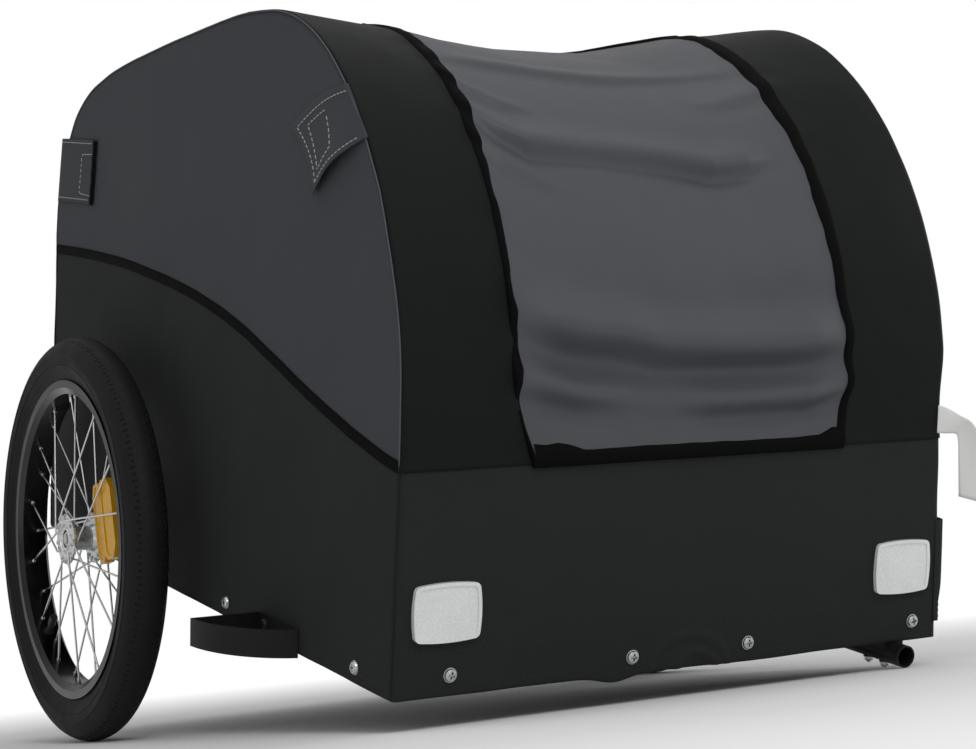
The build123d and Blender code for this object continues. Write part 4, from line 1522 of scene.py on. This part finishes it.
def build_world():
    world = bpy.data.worlds.new("studio")
    bpy.context.scene.world = world
    world.use_nodes = True
    nodes, links = world.node_tree.nodes, world.node_tree.links
    background = nodes["Background"]
    background.inputs["Color"].default_value = (1, 1, 1, 1)
    path = nodes.new("ShaderNodeLightPath")
    highest = nodes.new("ShaderNodeMath")
    highest.operation = "MAXIMUM"
    links.new(path.outputs["Is Camera Ray"], highest.inputs[0])
    links.new(path.outputs["Is Transmission Ray"], highest.inputs[1])
    strength = nodes.new("ShaderNodeMapRange")
    strength.inputs["To Min"].default_value = studio().ambient
    strength.inputs["To Max"].default_value = 1.0
    links.new(highest.outputs[0], strength.inputs["Value"])
    links.new(strength.outputs["Result"], background.inputs["Strength"])


def area_lamp(name, place, target, size, power):
    """A square soft lamp in the level frame, aimed at a target."""
    select_none()
    bpy.ops.object.light_add(type="AREA", location=Vector(place))
    lamp = bpy.context.object
    lamp.name = name
    lamp.data.shape = "SQUARE"
    lamp.data.size = size
    lamp.data.energy = power
    lamp.rotation_euler = (Vector(target) - Vector(place)).to_track_quat("-Z", "Y").to_euler()


def build_lamps():
    settings = studio()
    area_lamp("key_lamp", (-0.4, -2.8, 2.3), (0, 0, 0.3), 1.8, settings.key)
    area_lamp("top_lamp", (0.1, -0.2, 3.0), (0, 0, 0.3), 2.4, settings.top)
    area_lamp("fill_lamp", (2.8, -0.9, 1.3), (0, 0, 0.3), 1.6, settings.fill)


CAMERA_PLACE = Vector((-1.05644, -1.50343, 0.45164))


def build_camera():
    """The camera, placed and turned in the trailer's level frame."""
    settings = studio()
    data = bpy.data.cameras.new("camera")
    data.lens = settings.lens
    data.sensor_width = 36
    camera = linked("camera", data)
    flat = math.cos(settings.elevation)
    ahead = Vector((math.sin(settings.azimuth) * flat, math.cos(settings.azimuth) * flat,
                    -math.sin(settings.elevation)))
    level_right = ahead.cross(Vector((0, 0, 1))).normalized()
    up = level_right.cross(ahead)
    right = level_right * math.cos(settings.roll) + up * math.sin(settings.roll)
    up = right.cross(ahead)
    turn = Matrix((right, up, -ahead)).transposed().to_4x4()
    camera.matrix_world = PARK @ Matrix.Translation(CAMERA_PLACE) @ turn
    bpy.context.scene.camera = camera


# ---------------------------------------------------------------- operators
class MakerOperator(bpy.types.Operator):
    bl_options = {"REGISTER", "UNDO"}
    makers = ()

    def execute(self, context):
        for make in self.makers:
            make()
        return {"FINISHED"}


class TRAILER_OT_studio(MakerOperator):
    """Lay the floor, hang the lamps and set the camera"""
    bl_idname = "trailer.studio"
    bl_label = "Studio"
    makers = (build_floor, build_world, build_lamps, build_camera)


class TRAILER_OT_solids(MakerOperator):
    """Give the frame, wheels and fittings their finishes"""
    bl_idname = "trailer.solids"
    bl_label = "Solid finishes"
    makers = (finish_solids,)


class TRAILER_OT_lower_body(MakerOperator):
    """Stretch the black lower cloth over the frame"""
    bl_idname = "trailer.lower_body"
    bl_label = "Lower body"
    makers = (build_lower_body,)


class TRAILER_OT_cover_sides(MakerOperator):
    """Sew in the grey cover sides"""
    bl_idname = "trailer.cover_sides"
    bl_label = "Cover sides"
    makers = (build_cover_sides,)


class TRAILER_OT_hood(MakerOperator):
    """Lay the hood bands, the front panel and the roof"""
    bl_idname = "trailer.hood"
    bl_label = "Hood and roof"
    makers = (build_hood,)


class TRAILER_OT_bindings(MakerOperator):
    """Sew the tapes, welts and hems"""
    bl_idname = "trailer.bindings"
    bl_label = "Bindings"
    makers = (build_bindings, build_welts, build_seam_stitches)


class TRAILER_OT_tabs(MakerOperator):
    """Add the cover's tabs, the sleeve and the tag"""
    bl_idname = "trailer.tabs"
    bl_label = "Tabs"
    makers = (build_tabs, build_sleeve, build_tag)


class TRAILER_OT_screws(MakerOperator):
    """Add the screws and bolts"""
    bl_idname = "trailer.screws"
    bl_label = "Screws"
    makers = (build_screws, build_socket_bolts)


class TRAILER_OT_tyres(MakerOperator):
    """Make the treaded tyres"""
    bl_idname = "trailer.tyres"
    bl_label = "Tyres"
    makers = (build_tyres,)


OPERATORS = (TRAILER_OT_studio, TRAILER_OT_solids, TRAILER_OT_lower_body, TRAILER_OT_cover_sides,
             TRAILER_OT_hood, TRAILER_OT_bindings, TRAILER_OT_tabs, TRAILER_OT_screws, TRAILER_OT_tyres)


class TRAILER_PT_panel(bpy.types.Panel):
    """Trailer pieces and their settings"""
    bl_label = "Cargo Trailer"
    bl_idname = "TRAILER_PT_panel"
    bl_space_type = "VIEW_3D"
    bl_region_type = "UI"
    bl_category = "Trailer"

    def draw(self, context):
        for operator in OPERATORS:
            self.layout.operator(operator.bl_idname)
        for group in SETTINGS:
            settings = getattr(context.scene, group)
            box = self.layout.box()
            for name in settings.__annotations__:
                box.prop(settings, name)


SETTINGS = {"trailer_cover": CoverSettings, "trailer_fittings": FittingSettings,
            "trailer_wheels": WheelSettings, "trailer_studio": StudioSettings}
CLASSES = (*SETTINGS.values(), *OPERATORS, TRAILER_PT_panel)


def register():
    for item in CLASSES:
        bpy.utils.register_class(item)
    for name, group in SETTINGS.items():
        setattr(bpy.types.Scene, name, PointerProperty(type=group))


def unregister():
    for name in SETTINGS:
        delattr(bpy.types.Scene, name)
    for item in reversed(CLASSES):
        bpy.utils.unregister_class(item)


def main():
    register()
    bpy.context.scene.view_settings.view_transform = "Standard"
    for operator in OPERATORS:
        group, name = operator.bl_idname.split(".")
        getattr(getattr(bpy.ops, group), name)()


if __name__ == "__main__":
    main()
